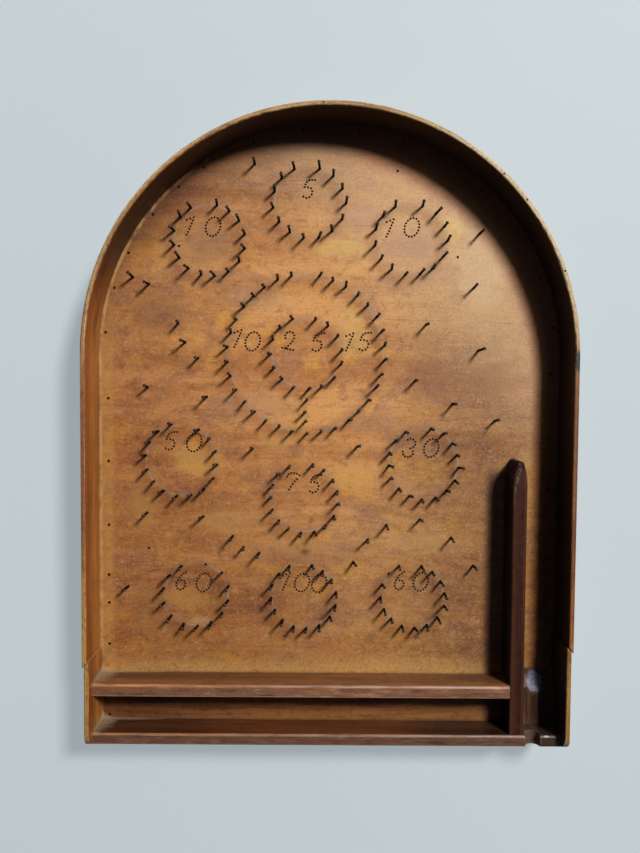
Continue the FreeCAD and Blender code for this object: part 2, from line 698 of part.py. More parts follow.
def make_rim_nails(nail):
    """Nails through the rim into the board's edge."""
    height = value("ledger_height + panel_thickness / 2")
    half, step, pitch = value(HALF), value("rim_nail_step"), value("rim_nail_pitch")
    nails = []
    for angle in steps(step, step, FULL_TURN / 2 - step):
        way = Rotation(UP, angle).multVec(Vector(1, 0, 0))
        nails.append(placed(nail.Shape, on_arch(half, angle, height), way))
    for side, splice in ((-1, value("splice_left")), (1, value("splice_right"))):
        for y in steps(value("rim_nail_first"), pitch, value("straight_side")):
            face = half if y > splice else value(SIDE_OUTER)
            nails.append(placed(nail.Shape, Vector(side * face, y, height), Vector(side, 0, 0)))
    return group("rim_nails", nails)


def make_rail_nails(nail):
    """Nails through the side pieces into the rails' ends."""
    height = value(SURFACE + " + rail_height / 2")
    outer = value(SIDE_OUTER)
    upper = value(UPPER_RAIL_TOP + " - upper_rail_thickness / 2")
    lower = value("(bottom_rail_thickness + nail_head_radius) / 2")
    spots = [(-1, lower), (-1, upper), (1, lower)]
    nails = [placed(nail.Shape, Vector(side * outer, y, height), Vector(side, 0, 0)) for side, y in spots]
    return group("rail_nails", nails)


def make_screws(screw, short_screw):
    """Screws up through the board into the rails, the divider and the block."""
    under = value("ledger_height")
    down = Vector(0, 0, -1)
    margin, foot = value("screw_margin"), value("bottom_rail_thickness")
    upper = value(UPPER_RAIL_TOP + " - upper_rail_thickness / 2")
    side, divider_face = value(SIDE_INNER), value(DIVIDER_LEFT)
    divider = value("(%s + %s) / 2" % (DIVIDER_LEFT, DIVIDER_RIGHT))
    nose = value("bottom_rail_thickness + divider_length - divider_nose")
    block = Vector(value(DIVIDER_RIGHT + " + lane_width / 2"), foot + value("block_length") / 3, under)
    upper_spots = [Vector(x, upper, under) for x in spread(margin - side, divider_face - margin, 3)]
    lower_spots = [Vector(x, foot / 2, 0) for x in spread(margin - side, side - margin, 4)]
    divider_spots = [Vector(divider, y, under) for y in spread(foot + margin, nose, 3)]
    kinds = [("upper_rail_screws", screw, upper_spots), ("bottom_rail_screws", screw, lower_spots),
             ("divider_screws", screw, divider_spots), ("block_screw", short_screw, [block])]
    return [group(name, [placed(kind.Shape, spot, down) for spot in spots]) for name, kind, spots in kinds]


def make_rim_marks():
    """Old nail holes in the upper edge of the bent rim, as cutters."""
    middle, depth = value(HALF + " - rim_thickness / 2"), value("rim_mark_depth")
    spots = [on_arch(middle, angle, value(RIM_HEIGHT) - depth) for angle in RIM_MARK_ANGLES]
    return group("rim_mark_drill", [Part.makeCylinder(value("rim_mark_radius"), 2 * depth, s) for s in spots])


# ---------------------------------------------------------------- assembly

pin = make_pin()
panel_nail = make_nail("panel_nail_blank", "panel_nail_length")
rim_nail = make_nail("rim_nail_blank", "rim_nail_length")
rail_nail = make_nail("rail_nail_blank", "rail_nail_length")
screw = make_screw("screw_blank", "screw_length")
short_screw = make_screw("short_screw_blank", "block_screw_length")

pin_nodes, lost_spots = make_pins(pin)
panel_nails = make_panel_nails(panel_nail)
rim_nails = make_rim_nails(rim_nail)
rail_nails = make_rail_nails(rail_nail)
upper_screws, bottom_screws, divider_screws, block_screw = make_screws(screw, short_screw)
screws = [upper_screws, bottom_screws, divider_screws, block_screw]

panel_cutters = pin_nodes + [panel_nails, rim_nails, make_dots(), make_empty_holes(lost_spots)] + screws
nodes = [
    cut("base_panel", make_base_panel(), panel_cutters),
    cut("rim_arch", make_rim_arch(), [rim_nails, make_rim_marks()]),
    cut("rim_side_left", make_rim_side("rim_side_left", "-", "splice_left"), [rim_nails, rail_nails]),
    cut("rim_side_right", make_rim_side("rim_side_right", "", "splice_right"), [rim_nails, rail_nails]),
    cut("upper_rail", make_rail("upper_rail", DIVIDER_LEFT, UPPER_RAIL_FOOT, UPPER_RAIL_TOP),
        [upper_screws, rail_nails]),
    cut("bottom_rail", make_rail("bottom_rail", SIDE_INNER, "0", "bottom_rail_thickness"),
        [bottom_screws, rail_nails, make_stick_notch()]),
    cut("lane_divider", make_lane_divider(), [divider_screws]),
    cut("lane_block", make_lane_block(), [block_screw, make_block_groove()]),
]
for ledger in make_arch_ledgers() + make_straight_ledgers():
    nodes.append(cut(ledger.Name, ledger, [panel_nails, bottom_screws]))
nodes += pin_nodes + [panel_nails, rim_nails, rail_nails] + screws
doc.recompute()

faults = [item.Name for item in doc.Objects if {"Invalid", "Error"} & set(item.State)]
for node in nodes:
    if node.Shape.isNull() or not node.Shape.isValid() or not node.Shape.Solids:
        faults.append(node.Label)
if faults:
    raise RuntimeError("not built: " + ", ".join(faults))

os.makedirs("parts", exist_ok=True)
for node in nodes:
    node.Shape.exportStep("parts/%s.step" % node.Label)
    print("%-20s %4d solids %12.1f mm3" % (node.Label, len(node.Shape.Solids), node.Shape.Volume))
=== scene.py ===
import math

import bpy
from mathutils import Matrix, Vector


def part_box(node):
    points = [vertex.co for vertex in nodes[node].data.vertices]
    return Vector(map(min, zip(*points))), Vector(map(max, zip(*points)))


# Looks of the bagatelle board: materials for every CAD node, a pale floor, soft light and
# the camera. Lengths are metres in the scene; inside the materials places are millimetres.

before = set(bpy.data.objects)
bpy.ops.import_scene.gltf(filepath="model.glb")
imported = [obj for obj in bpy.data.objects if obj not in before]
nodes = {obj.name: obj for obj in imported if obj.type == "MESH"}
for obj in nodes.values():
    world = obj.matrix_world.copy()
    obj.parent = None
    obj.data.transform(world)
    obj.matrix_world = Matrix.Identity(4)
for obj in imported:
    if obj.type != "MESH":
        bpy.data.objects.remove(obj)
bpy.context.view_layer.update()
scene = bpy.context.scene

MM = 1000.0
EDGE_SAMPLES = 4
HOLLOW_SAMPLES = 6


def box_mm(name):
    """A node's lowest and highest corners in millimetres."""
    low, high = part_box(name)
    return Vector(low) * MM, Vector(high) * MM


# ---------------------------------------------------------------- places on the board

rim_high = box_mm("rim_arch")[1]
panel_low, panel_high = box_mm("base_panel")
upper_low, upper_high = box_mm("upper_rail")
bottom_low, bottom_high = box_mm("bottom_rail")
divider_low, divider_high = box_mm("lane_divider")
block_low, block_high = box_mm("lane_block")

HALF = rim_high.x
FIELD_RADIUS = panel_high.x
ARCH_Y = rim_high.y - HALF
SURFACE = panel_high.z
RIM_TOP = rim_high.z
FOOT_Y = panel_low.y
SIDE_INNER = upper_low.x
NOTCH_OFFSET = 7.4
NOTCH_X = divider_high.x + NOTCH_OFFSET

# Centres of the dark knot and of the paler middle, and where the rim is burnt.
KNOT = (-18.8, -99.95, SURFACE)
PALE_MIDDLE = (-25.0, 50.0, 0.0)
BURNT_Y = 55.0

# Dust in the corners: its colour and how much of it shows.
DUST = "a08e74"
DUSTED = 0.58

# Scribed circles that the pockets' pins stand on: centre across and up, and radius.
SCRIBED = [
    (-17.15, 181.35, 28.6), (-97.0, 151.45, 28.7), (64.5, 152.75, 28.7), (-18.75, 61.05, 63.2),
    (-18.75, 61.45, 29.0), (-119.5, -25.45, 29.2), (77.0, -26.85, 28.9), (-19.55, -55.65, 28.1),
    (-107.2, -135.15, 26.7), (-19.75, -136.25, 26.7), (69.3, -135.65, 26.3),
]

# Old stains on the panel: centre across and up, half width, half height, colour and strength.
STAINS = [
    (-106.0, -24.0, 20.0, 13.0, "c4934a", 0.55), (-36.0, -8.0, 16.0, 9.0, "c7954c", 0.50),
    (-110.0, -140.0, 26.0, 12.0, "bd8a44", 0.45), (-104.0, -158.0, 11.0, 4.0, "c9a27e", 0.40),
    (22.0, 78.0, 16.0, 22.0, "c9a05c", 0.50), (110.0, 40.0, 62.0, 17.0, "85583f", 0.50),
    (-60.0, 20.0, 40.0, 12.0, "a5795a", 0.40), (-10.0, -100.0, 46.0, 13.0, "96674b", 0.40),
    (70.0, -90.0, 34.0, 10.0, "b98a54", 0.40), (120.0, 130.0, 22.0, 40.0, "cdb084", 0.40),
    (66.0, 147.0, 22.0, 15.0, "a37b66", 0.55), (12.0, 147.0, 24.0, 8.0, "cfa65c", 0.60),
    (97.0, 156.0, 9.0, 13.0, "d2ac66", 0.55), (24.0, 172.0, 15.0, 11.0, "a9826c", 0.40),
    (-99.0, 150.0, 24.0, 18.0, "8f6649", 0.50), (-60.0, 105.0, 30.0, 10.0, "a67f62", 0.40),
    (-140.0, 95.0, 22.0, 16.0, "7f5638", 0.50), (-78.0, -75.0, 26.0, 10.0, "b2834a", 0.45),
    (-150.0, -60.0, 14.0, 30.0, "a87a3e", 0.45), (40.0, 5.0, 34.0, 9.0, "8e6248", 0.45),
    (20.0, -40.0, 18.0, 9.0, "c39550", 0.45), (-150.0, -150.0, 16.0, 22.0, "7d5632", 0.35),
]


# ---------------------------------------------------------------- material helpers

def tone(text):
    """A colour written as six hex digits of sRGB, in linear light."""
    parts = [int(text[i:i + 2], 16) / 255 for i in (0, 2, 4)]
    linear = [p / 12.92 if p <= 0.04045 else ((p + 0.055) / 1.055) ** 2.4 for p in parts]
    return (*linear, 1.0)


class Shade:
    """Short calls for the nodes of one material. Places are in millimetres of the row frame."""

    def __init__(self, name):
        self.material = bpy.data.materials.new(name)
        self.material.use_nodes = True
        self.tree = self.material.node_tree
        self.tree.nodes.clear()
        self.output = self.tree.nodes.new("ShaderNodeOutputMaterial")
        coords = self.tree.nodes.new("ShaderNodeTexCoord")
        self.place = self.vector("MULTIPLY", coords.outputs["Object"], (MM, MM, MM))
        split = self.tree.nodes.new("ShaderNodeSeparateXYZ")
        self.put(split.inputs[0], self.place)
        self.x, self.y, self.z = split.outputs

    def put(self, socket, value):
        if isinstance(value, bpy.types.NodeSocket):
            self.tree.links.new(value, socket)
        else:
            socket.default_value = value

    def math(self, operation, first, second=0.0, third=0.0, clamp=False):
        node = self.tree.nodes.new("ShaderNodeMath")
        node.operation = operation
        node.use_clamp = clamp
        for socket, value in zip(node.inputs, (first, second, third)):
            self.put(socket, value)
        return node.outputs[0]

    def vector(self, operation, first, second=(0.0, 0.0, 0.0)):
        node = self.tree.nodes.new("ShaderNodeVectorMath")
        node.operation = operation
        self.put(node.inputs[0], first)
        self.put(node.inputs[1], second)
        return node.outputs["Value" if operation in ("LENGTH", "DISTANCE", "DOT_PRODUCT") else "Vector"]

    def join(self, x, y, z):
        node = self.tree.nodes.new("ShaderNodeCombineXYZ")
        for socket, value in zip(node.inputs, (x, y, z)):
            self.put(socket, value)
        return node.outputs[0]

    def turn(self, vector, angle):
        node = self.tree.nodes.new("ShaderNodeVectorRotate")
        node.rotation_type = "Z_AXIS"
        self.put(node.inputs["Vector"], vector)
        node.inputs["Angle"].default_value = math.radians(angle)
        return node.outputs[0]

    def noise(self, vector, scale=(1.0, 1.0, 1.0), detail=3.0, rough=0.55, shift=0.0, warp=0.0):
        """Smooth random pattern from 0 to 1; scale is cycles per millimetre along each axis."""
        node = self.tree.nodes.new("ShaderNodeTexNoise")
        moved = self.vector("MULTIPLY", vector, scale)
        if shift:
            moved = self.vector("ADD", moved, (shift, shift * 0.7, shift * 0.4))
        self.put(node.inputs["Vector"], moved)
        node.inputs["Scale"].default_value = 1.0
        node.inputs["Detail"].default_value = detail
        node.inputs["Roughness"].default_value = rough
        node.inputs["Distortion"].default_value = warp
        return node.outputs[0]

    def step(self, value, low, high, to_low=0.0, to_high=1.0):
        """Smooth step of a value between two levels."""
        node = self.tree.nodes.new("ShaderNodeMapRange")
        node.interpolation_type = "SMOOTHSTEP"
        self.put(node.inputs["Value"], value)
        if low > high:
            low, high, to_low, to_high = high, low, to_high, to_low
        node.inputs["From Min"].default_value = low
        node.inputs["From Max"].default_value = high
        node.inputs["To Min"].default_value = to_low
        node.inputs["To Max"].default_value = to_high
        return node.outputs[0]

    def near(self, value, centre, outer, inner):
        """1 where a value lies within the inner distance of a centre, 0 beyond the outer one."""
        return self.step(self.math("ABSOLUTE", self.math("SUBTRACT", value, centre)), outer, inner)

    def past(self, value, limit):
        """How far a value is past a limit, and 0 before it."""
        return self.math("MAXIMUM", self.math("SUBTRACT", value, limit), 0.0)

    def swing(self, pattern, most):
        """A pattern from 0 to 1 turned into a swing about 0."""
        return self.math("MULTIPLY", self.math("SUBTRACT", pattern, 0.5), most)

    def away(self, centre, scale):
        """Distance from a centre, each axis multiplied by its scale."""
        moved = self.vector("ADD", self.place, tuple(-part for part in centre))
        return self.vector("LENGTH", self.vector("MULTIPLY", moved, scale))

    def times(self, *values):
        product = values[0]
        for value in values[1:]:
            product = self.math("MULTIPLY", product, value)
        return product

    def mix(self, amount, first, second, blend="MIX"):
        node = self.tree.nodes.new("ShaderNodeMix")
        node.data_type = "RGBA"
        node.blend_type = blend
        node.clamp_factor = True
        for socket, value in ((node.inputs[0], amount), (node.inputs[6], first), (node.inputs[7], second)):
            self.put(socket, value)
        return node.outputs[2]

    def layer(self, colour, pattern, low, high, most, hue):
        """A hue laid over the colour, from none at one level of a pattern to its most at another."""
        return self.mix(self.step(pattern, low, high, 0.0, most), colour, tone(hue))

    def tint(self, amount, colour, red, green, blue):
        """The colour multiplied by three shares, by an amount."""
        return self.mix(amount, colour, (red, green, blue, 1.0), "MULTIPLY")

    def ramp(self, value, stops):
        node = self.tree.nodes.new("ShaderNodeValToRGB")
        self.put(node.inputs[0], value)
        elements = node.color_ramp.elements
        while len(elements) < len(stops):
            elements.new(0.5)
        for element, (position, colour) in zip(elements, stops):
            element.position = position
            element.color = tone(colour)
        return node.outputs[0]

    def normal_axis(self, axis):
        """One part of the surface's own direction."""
        node = self.tree.nodes.new("ShaderNodeNewGeometry")
        split = self.tree.nodes.new("ShaderNodeSeparateXYZ")
        self.put(split.inputs[0], node.outputs["Normal"])
        return split.outputs[axis]

    def edges(self, radius):
        """Grows from 0 on a flat face to 1 at its edges, over a width in millimetres."""
        bevel = self.tree.nodes.new("ShaderNodeBevel")
        bevel.samples = EDGE_SAMPLES
        bevel.inputs["Radius"].default_value = radius / MM
        plain = self.tree.nodes.new("ShaderNodeNewGeometry")
        same = self.vector("DOT_PRODUCT", bevel.outputs[0], plain.outputs["Normal"])
        return self.step(same, 0.995, 0.86)

    def hollows(self, reach):
        """Grows towards 1 where other surfaces stand within reach, in millimetres."""
        node = self.tree.nodes.new("ShaderNodeAmbientOcclusion")
        node.samples = HOLLOW_SAMPLES
        node.inputs["Distance"].default_value = reach / MM
        return self.math("SUBTRACT", 1.0, node.outputs["AO"], clamp=True)

    def finish(self, colour, roughness, height=None, lift=0.1, metallic=0.0, specular=0.5):
        shader = self.tree.nodes.new("ShaderNodeBsdfPrincipled")
        self.put(shader.inputs["Base Color"], colour)
        self.put(shader.inputs["Roughness"], roughness)
        self.put(shader.inputs["Metallic"], metallic)
        shader.inputs["Specular IOR Level"].default_value = specular
        if height is not None:
            bump = self.tree.nodes.new("ShaderNodeBump")
            bump.inputs["Strength"].default_value = 1.0
            bump.inputs["Distance"].default_value = lift / MM
            self.put(bump.inputs["Height"], height)
            self.put(shader.inputs["Normal"], bump.outputs[0])
        self.tree.links.new(shader.outputs[0], self.output.inputs["Surface"])
        return self.material


# ---------------------------------------------------------------- patterns that the wood shares

def streaks(s, where, along, across, shift):
    """Three sizes of streaks that run along the first axis: plank bands, grain and fibres."""
    bands = s.noise(where, (along * 0.25, across * 0.09, across * 0.09), 3.0, 0.5, shift, 0.4)
    grain = s.noise(where, (along, across, across), 4.0, 0.62, shift + 3.1)
    fibres = s.noise(where, (along * 4.0, across * 3.6, across * 3.6), 2.0, 0.6, shift + 7.7)
    return bands, grain, fibres


def scratches(s, where, angles, length, width, limit, shift):
    """Short fine scratches that run at several angles."""
    found = None
    for index, angle in enumerate(angles):
        turned = s.turn(where, angle)
        marks = s.noise(turned, (1.0 / length, 1.0 / width, 1.0 / width), 1.0, 0.4, shift + 5.3 * index, 0.25)
        marks = s.step(marks, limit, limit + 0.07)
        found = marks if found is None else s.math("MAXIMUM", found, marks)
    return found


def wall_gap(s):
    """Distance in millimetres from the rim's inner face, inside the board."""
    above = s.past(s.y, ARCH_Y)
    reach = s.vector("LENGTH", s.join(s.x, above, 0.0))
    return s.math("SUBTRACT", FIELD_RADIUS, reach)


def corner_dust(s):
    """Grey dust in the corners where the rails meet the left side piece."""
    patchy = s.swing(s.noise(s.place, (0.16, 0.26, 0.2), 4.0, 0.70, 51.0), 9.0)
    across = s.past(s.x, SIDE_INNER)
    above = s.past(s.z, SURFACE)
    found = None
    for face in (upper_high.y, bottom_high.y):
        off = s.math("ABSOLUTE", s.math("SUBTRACT", s.y, face))
        away = s.math("ADD", s.math("MULTIPLY", off, 1.2), s.math("MULTIPLY", across, 0.42))
        away = s.math("ADD", away, s.math("MULTIPLY", above, 0.20))
        near = s.step(s.math("ADD", away, patchy), 8.5, 2.0)
        line = s.times(s.step(off, 1.8, 0.5), s.step(above, 2.4, 0.6), s.step(across, 60.0, 12.0, 0.0, 0.6))
        near = s.math("MAXIMUM", near, line)
        found = near if found is None else s.math("MAXIMUM", found, near)
    return found


def circles_off(s, shift):
    """Distance from the nearest scribed circle, all of them shifted down and to the left."""
    nearest = None
    for across, up, radius in SCRIBED:
        reach = s.away((across - shift, up - shift, 0.0), (1.0, 1.0, 0.0))
        off = s.math("ABSOLUTE", s.math("SUBTRACT", reach, radius - 0.9))
        nearest = off if nearest is None else s.math("MINIMUM", nearest, off)
    return nearest


def pin_dirt(s, radius_off):
    """Dark and pale smudges along the scribed circles, from their distance."""
    patchy = s.step(s.noise(s.place, (0.11, 0.13, 0.1), 4.0, 0.65, 36.0), 0.42, 0.62)
    return s.times(s.step(radius_off, 4.2, 0.6), patchy)


# ---------------------------------------------------------------- the playing board

class PanelPatterns:
    """Patterns that the playing board's layers share."""

    def __init__(self, s):
        sway = s.noise(s.place, (0.006, 0.012, 0.01), 2.0, 0.5, 1.3)
        self.swayed = s.vector("ADD", s.place, s.join(0.0, s.math("MULTIPLY", sway, 26.0), 0.0))
        self.bands, self.grain, self.fibres = streaks(s, self.swayed, 0.018, 0.50, 0.0)
        self.blotch = s.noise(s.place, (0.022, 0.034, 0.03), 5.0, 0.64, 4.0, 0.6)
        self.cloud = s.noise(s.place, (0.008, 0.011, 0.01), 3.0, 0.55, 9.0)
        self.golden = s.noise(s.place, (0.026, 0.040, 0.03), 4.0, 0.60, 27.0, 0.5)
        self.bruise = s.noise(s.place, (0.030, 0.045, 0.04), 5.0, 0.62, 19.0, 0.8)
        self.mottle = s.noise(s.place, (0.11, 0.15, 0.15), 5.0, 0.70, 2.0, 0.5)
        self.speckle = s.noise(s.place, (0.50, 0.62, 0.6), 4.0, 0.75, 6.0, 0.4)
        self.flecks = s.noise(s.place, (0.85, 1.0, 1.0), 2.0, 0.6, 71.0)

        # Towards the upper right, and the calm that the wear has there.
        self.diagonal = s.math("ADD", s.x, s.y)
        self.leaning = s.math("ADD", s.x, s.math("MULTIPLY", s.y, 0.35))
        self.calm = s.step(self.diagonal, 120.0, 220.0, 1.0, 0.30)

        # Hairline cracks along the grain.
        line = s.noise(self.swayed, (0.003, 0.065, 0.05), 2.0, 0.5, 13.0)
        crack = s.near(line, 0.5, 0.0035, 0.001)
        broken = s.step(s.noise(s.place, (0.012, 0.03, 0.03), 2.0, 0.5, 15.0), 0.54, 0.64)
        self.crack = s.times(crack, broken)

        self.scratch = scratches(s, s.place, (12, -38, 67, 101), 9.0, 0.45, 0.64, 21.0)
        self.dark_scratch = scratches(s, s.place, (5, 84, -52), 14.0, 0.40, 0.67, 43.0)
        self.crevice_shade = s.step(s.hollows(3.0), 0.16, 0.60)
        self.gap = wall_gap(s)
        self.rough_gap = s.math("ADD", self.gap, s.swing(self.mottle, 16.0))


def varnish(s, p):
    """The varnished wood before any wear."""
    colour = s.ramp(s.step(p.bands, 0.32, 0.68), [(0.0, "9c6536"), (0.5, "b07a48"), (1.0, "bf8b58")])
    colour = s.layer(colour, p.cloud, 0.44, 0.64, 0.45, "be8c55")
    colour = s.layer(colour, p.golden, 0.51, 0.66, 0.70, "c28c3c")
    colour = s.layer(colour, p.blotch, 0.50, 0.66, 0.50, "8e5f3e")
    colour = s.layer(colour, p.bruise, 0.51, 0.66, 0.52, "8a5f50")
    colour = s.layer(colour, p.grain, 0.50, 0.72, 0.26, "83532f")
    colour = s.layer(colour, p.grain, 0.46, 0.28, 0.24, "cb9a62")
    return s.layer(colour, p.fibres, 0.52, 0.74, 0.24, "764828")


def broad_tints(s, p, colour):
    """The left is redder; the upper right is paler, in part worn and in part a painted sheen; the top under
    the arch has painted shade; the foot and lane are yellower, the lane also brighter with painted light.
    """
    colour = s.tint(s.step(p.leaning, 0.0, -170.0), colour, 0.82, 0.70, 0.56)
    colour = s.tint(s.step(s.x, 20.0, 130.0), colour, 0.61, 0.56, 0.50)
    # Paler towards the upper right, in part wear and in part a painted sheen.
    colour = s.layer(colour, p.diagonal, 110.0, 230.0, 0.52, "d3ad84")
    # Painted shade under the top of the arch.
    colour = s.tint(s.times(s.step(s.y, 165.0, 205.0), s.step(s.x, 60.0, 0.0)), colour, 0.74, 0.74, 0.76)
    colour = s.tint(s.step(s.y, -50.0, -175.0), colour, 0.84, 0.80, 0.74)
    colour = s.tint(s.step(s.away(PALE_MIDDLE, (1.0, 0.8, 0.0)), 150.0, 30.0), colour, 1.23, 1.20, 1.06)
    colour = s.tint(1.0, colour, 1.0, 0.97, 0.90)
    # The lane is yellower and brighter, in part painted light.
    lane = s.step(s.x, divider_high.x - 0.5, divider_high.x + 0.5)
    lane = s.times(lane, s.step(s.y, divider_high.y + 14.0, divider_high.y - 10.0))
    colour = s.tint(lane, colour, 1.22, 1.33, 1.04)
    strip = s.times(s.step(s.y, upper_high.y + 20.0, upper_high.y + 3.0), s.step(p.mottle, 0.3, 0.55))
    return s.mix(s.times(strip, 0.60), colour, tone("bd9250"))


def mottling(s, p, colour):
    """Mottling of all sizes, over the tints."""
    colour = s.tint(s.times(s.step(p.mottle, 0.50, 0.70), p.calm), colour, 0.70, 0.62, 0.56)
    colour = s.layer(colour, p.mottle, 0.47, 0.28, 0.36, "c99a62")
    colour = s.tint(s.step(p.speckle, 0.49, 0.28), colour, 0.66, 0.60, 0.60)
    colour = s.layer(colour, p.speckle, 0.54, 0.74, 0.46, "d6b896")
    colour = s.layer(colour, p.flecks, 0.66, 0.78, 0.30, "dac2a0")
    return s.tint(s.step(p.flecks, 0.31, 0.22), colour, 0.58, 0.48, 0.42)


def old_stains(s, p, colour):
    """The large old stains, the cracks and the dark knot."""
    for across, up, width, height, hue, amount in STAINS:
        off = s.away((across, up, 0.0), (1.0 / width, 1.0 / height, 0.0))
        off = s.math("ADD", off, s.swing(p.blotch, 3.0))
        colour = s.layer(colour, off, 1.25, 0.35, amount, hue)
    colour = s.mix(s.times(p.crack, 0.30), colour, tone("5f3a20"))
    knot = s.away(KNOT, (0.15, 0.24, 0.1))
    knot = s.step(s.math("ADD", knot, s.math("MULTIPLY", p.mottle, 1.3)), 1.75, 0.65)
    return s.mix(s.times(knot, 0.80), colour, tone("4a2c22"))


def ball_wear(s, p, colour):
    """Fine scratches left by balls and hands, most of them on the right."""
    worn = s.step(s.math("ADD", s.x, s.math("MULTIPLY", p.cloud, 120.0)), 0.0, 160.0, 0.4, 1.0)
    colour = s.mix(s.times(p.scratch, worn, 0.22), colour, tone("d8b78b"))
    return s.mix(s.times(p.dark_scratch, p.calm, 0.30), colour, tone("6b4327"))


def circle_marks(s, p, colour):
    """Scribed circles under the pins, with smudges along them, and a darker band shifted down and to the left
    of each: smudges and painted pin shadow together.
    """
    ring = circles_off(s, 0.0)
    # A darker band shifted down and to the left along each circle: smudges, and painted shadow of the pins.
    smudge_and_pin_shadow = s.math("ADD", circles_off(s, 3.5), s.swing(p.mottle, 12.0))
    colour = s.tint(s.step(smudge_and_pin_shadow, 8.5, 0.0, 0.0, 0.85), colour, 0.76, 0.66, 0.60)
    patchy = s.step(s.noise(s.place, (0.09, 0.09, 0.09), 2.0, 0.5, 30.0), 0.42, 0.66, 0.0, 0.50)
    colour = s.mix(s.times(s.step(ring, 1.1, 0.2), patchy), colour, tone("ad9474"))
    return s.mix(s.times(pin_dirt(s, ring), 0.34), colour, tone("8b7865"))


def rim_side_shade(s, p, colour):
    """Painted shadow of the rim on the board, widest under the arch and on the right, over a darker brown
    band along the rim's foot and a golden band low on the left.
    """
    colour = s.layer(colour, p.rough_gap, 13.0, 0.0, 0.42, "6d4628")
    lacquer = s.times(s.step(p.gap, 14.0, 8.0), s.step(s.x, -140.0, -165.0), s.step(s.y, 110.0, 40.0),
                      s.step(p.mottle, 0.3, 0.6))
    colour = s.mix(s.times(lacquer, 0.55), colour, tone("b98842"))
    # Painted shadow of the arch, reaching far onto the board at the upper left.
    painted_shade = s.times(s.step(p.rough_gap, 34.0, 3.0), s.step(s.y, 90.0, 185.0),
                     s.step(s.x, 90.0, -60.0, 0.4, 1.0))
    colour = s.tint(painted_shade, colour, 0.40, 0.28, 0.20)
    # Painted shadow of the rim: a reddish edge, then a dark band along the wall under the arch and on the
    # right.
    depth = s.math("DIVIDE", p.gap, s.step(s.y, 40.0, 150.0, 16.0, 25.0))
    shaded = s.times(s.step(depth, 1.55, 0.95), s.step(p.leaning, 50.0, 130.0))
    colour = s.tint(shaded, colour, 0.74, 0.56, 0.50)
    shaded = s.times(s.step(depth, 1.05, 0.45), s.step(p.leaning, -10.0, 80.0))
    return s.tint(shaded, colour, 0.40, 0.32, 0.34)


def foot_shade_and_dirt(s, p, colour):
    """Painted shadow beside the divider, painted shade and soot in the trough, painted shade round the pins
    and in other crevices, a pale line at the foot of the left wall, and corner dust.
    """
    # Painted shadow of the divider on the board to its left.
    divider_shadow = s.times(s.step(s.x, divider_low.x - 20.0, divider_low.x - 11.0),
                     s.step(s.x, divider_low.x + 1.0, divider_low.x),
                     s.step(s.y, divider_high.y - 4.0, divider_high.y - 16.0))
    colour = s.tint(divider_shadow, colour, 0.34, 0.28, 0.38)
    # Painted shade in the trough between the rails, with soot patches, darker towards the left end, and a
    # golden band along its lower edge.
    trough = s.times(s.step(s.y, upper_low.y + 0.5, upper_low.y - 0.5),
                     s.step(s.x, divider_low.x, divider_low.x - 0.5))
    colour = s.tint(trough, colour, 0.46, 0.33, 0.26)
    sooty = s.noise(s.place, (0.018, 0.24, 0.2), 4.0, 0.65, 58.0)
    colour = s.tint(s.times(trough, s.step(sooty, 0.46, 0.60)), colour, 0.66, 0.50, 0.44)
    colour = s.tint(s.times(trough, s.step(sooty, 0.44, 0.32)), colour, 1.30, 1.22, 1.05)
    colour = s.tint(s.times(trough, s.step(s.x, -60.0, -150.0)), colour, 0.62, 0.58, 0.54)
    gilt = s.times(trough, s.step(s.y, bottom_high.y + 11.0, bottom_high.y + 5.0), s.step(p.mottle, 0.3, 0.6))
    colour = s.mix(s.times(gilt, s.step(s.x, -150.0, -40.0, 0.10, 0.42)), colour, tone("8d6430"))
    # Painted shade round the pins' feet, in the punched dots and in the other crevices.
    colour = s.mix(s.times(p.crevice_shade, 0.74), colour, tone("28130a"))
    # A pale line along the foot of the left wall.
    pale_foot_line = s.times(s.step(p.gap, 3.0, 1.8), s.step(p.gap, -0.6, 0.3), s.step(s.x, -60.0, -150.0),
                  s.step(s.noise(s.place, (0.10, 0.055, 0.05), 4.0, 0.70, 33.0), 0.38, 0.56, 0.15, 1.0))
    colour = s.mix(s.times(pale_foot_line, 0.50), colour, tone("c29a62"))
    return s.mix(s.times(corner_dust(s), DUSTED), colour, tone(DUST))


def cut_faces(s, p, colour):
    """Painted shade inside the holes and punched dots, and bare paler wood underneath and on the cut edges.
    """
    # Painted shade: everything below the surface, inside holes and dots, near black.
    colour = s.mix(s.step(s.z, SURFACE - 0.03, SURFACE - 0.16), colour, tone("120b07"))
    bare = s.step(s.z, SURFACE - 1.4, SURFACE - 1.7)
    below = s.ramp(s.step(p.grain, 0.3, 0.7), [(0.0, "9a7448"), (1.0, "b8945f")])
    below = s.layer(below, p.blotch, 0.5, 0.7, 0.5, "80603c")
    edge_only = s.times(bare, s.step(s.math("ABSOLUTE", s.normal_axis(2)), 0.0, 0.02))
    foot = s.step(s.y, FOOT_Y + 0.2, FOOT_Y + 0.05)
    return s.mix(s.math("MAXIMUM", edge_only, foot), colour, below)


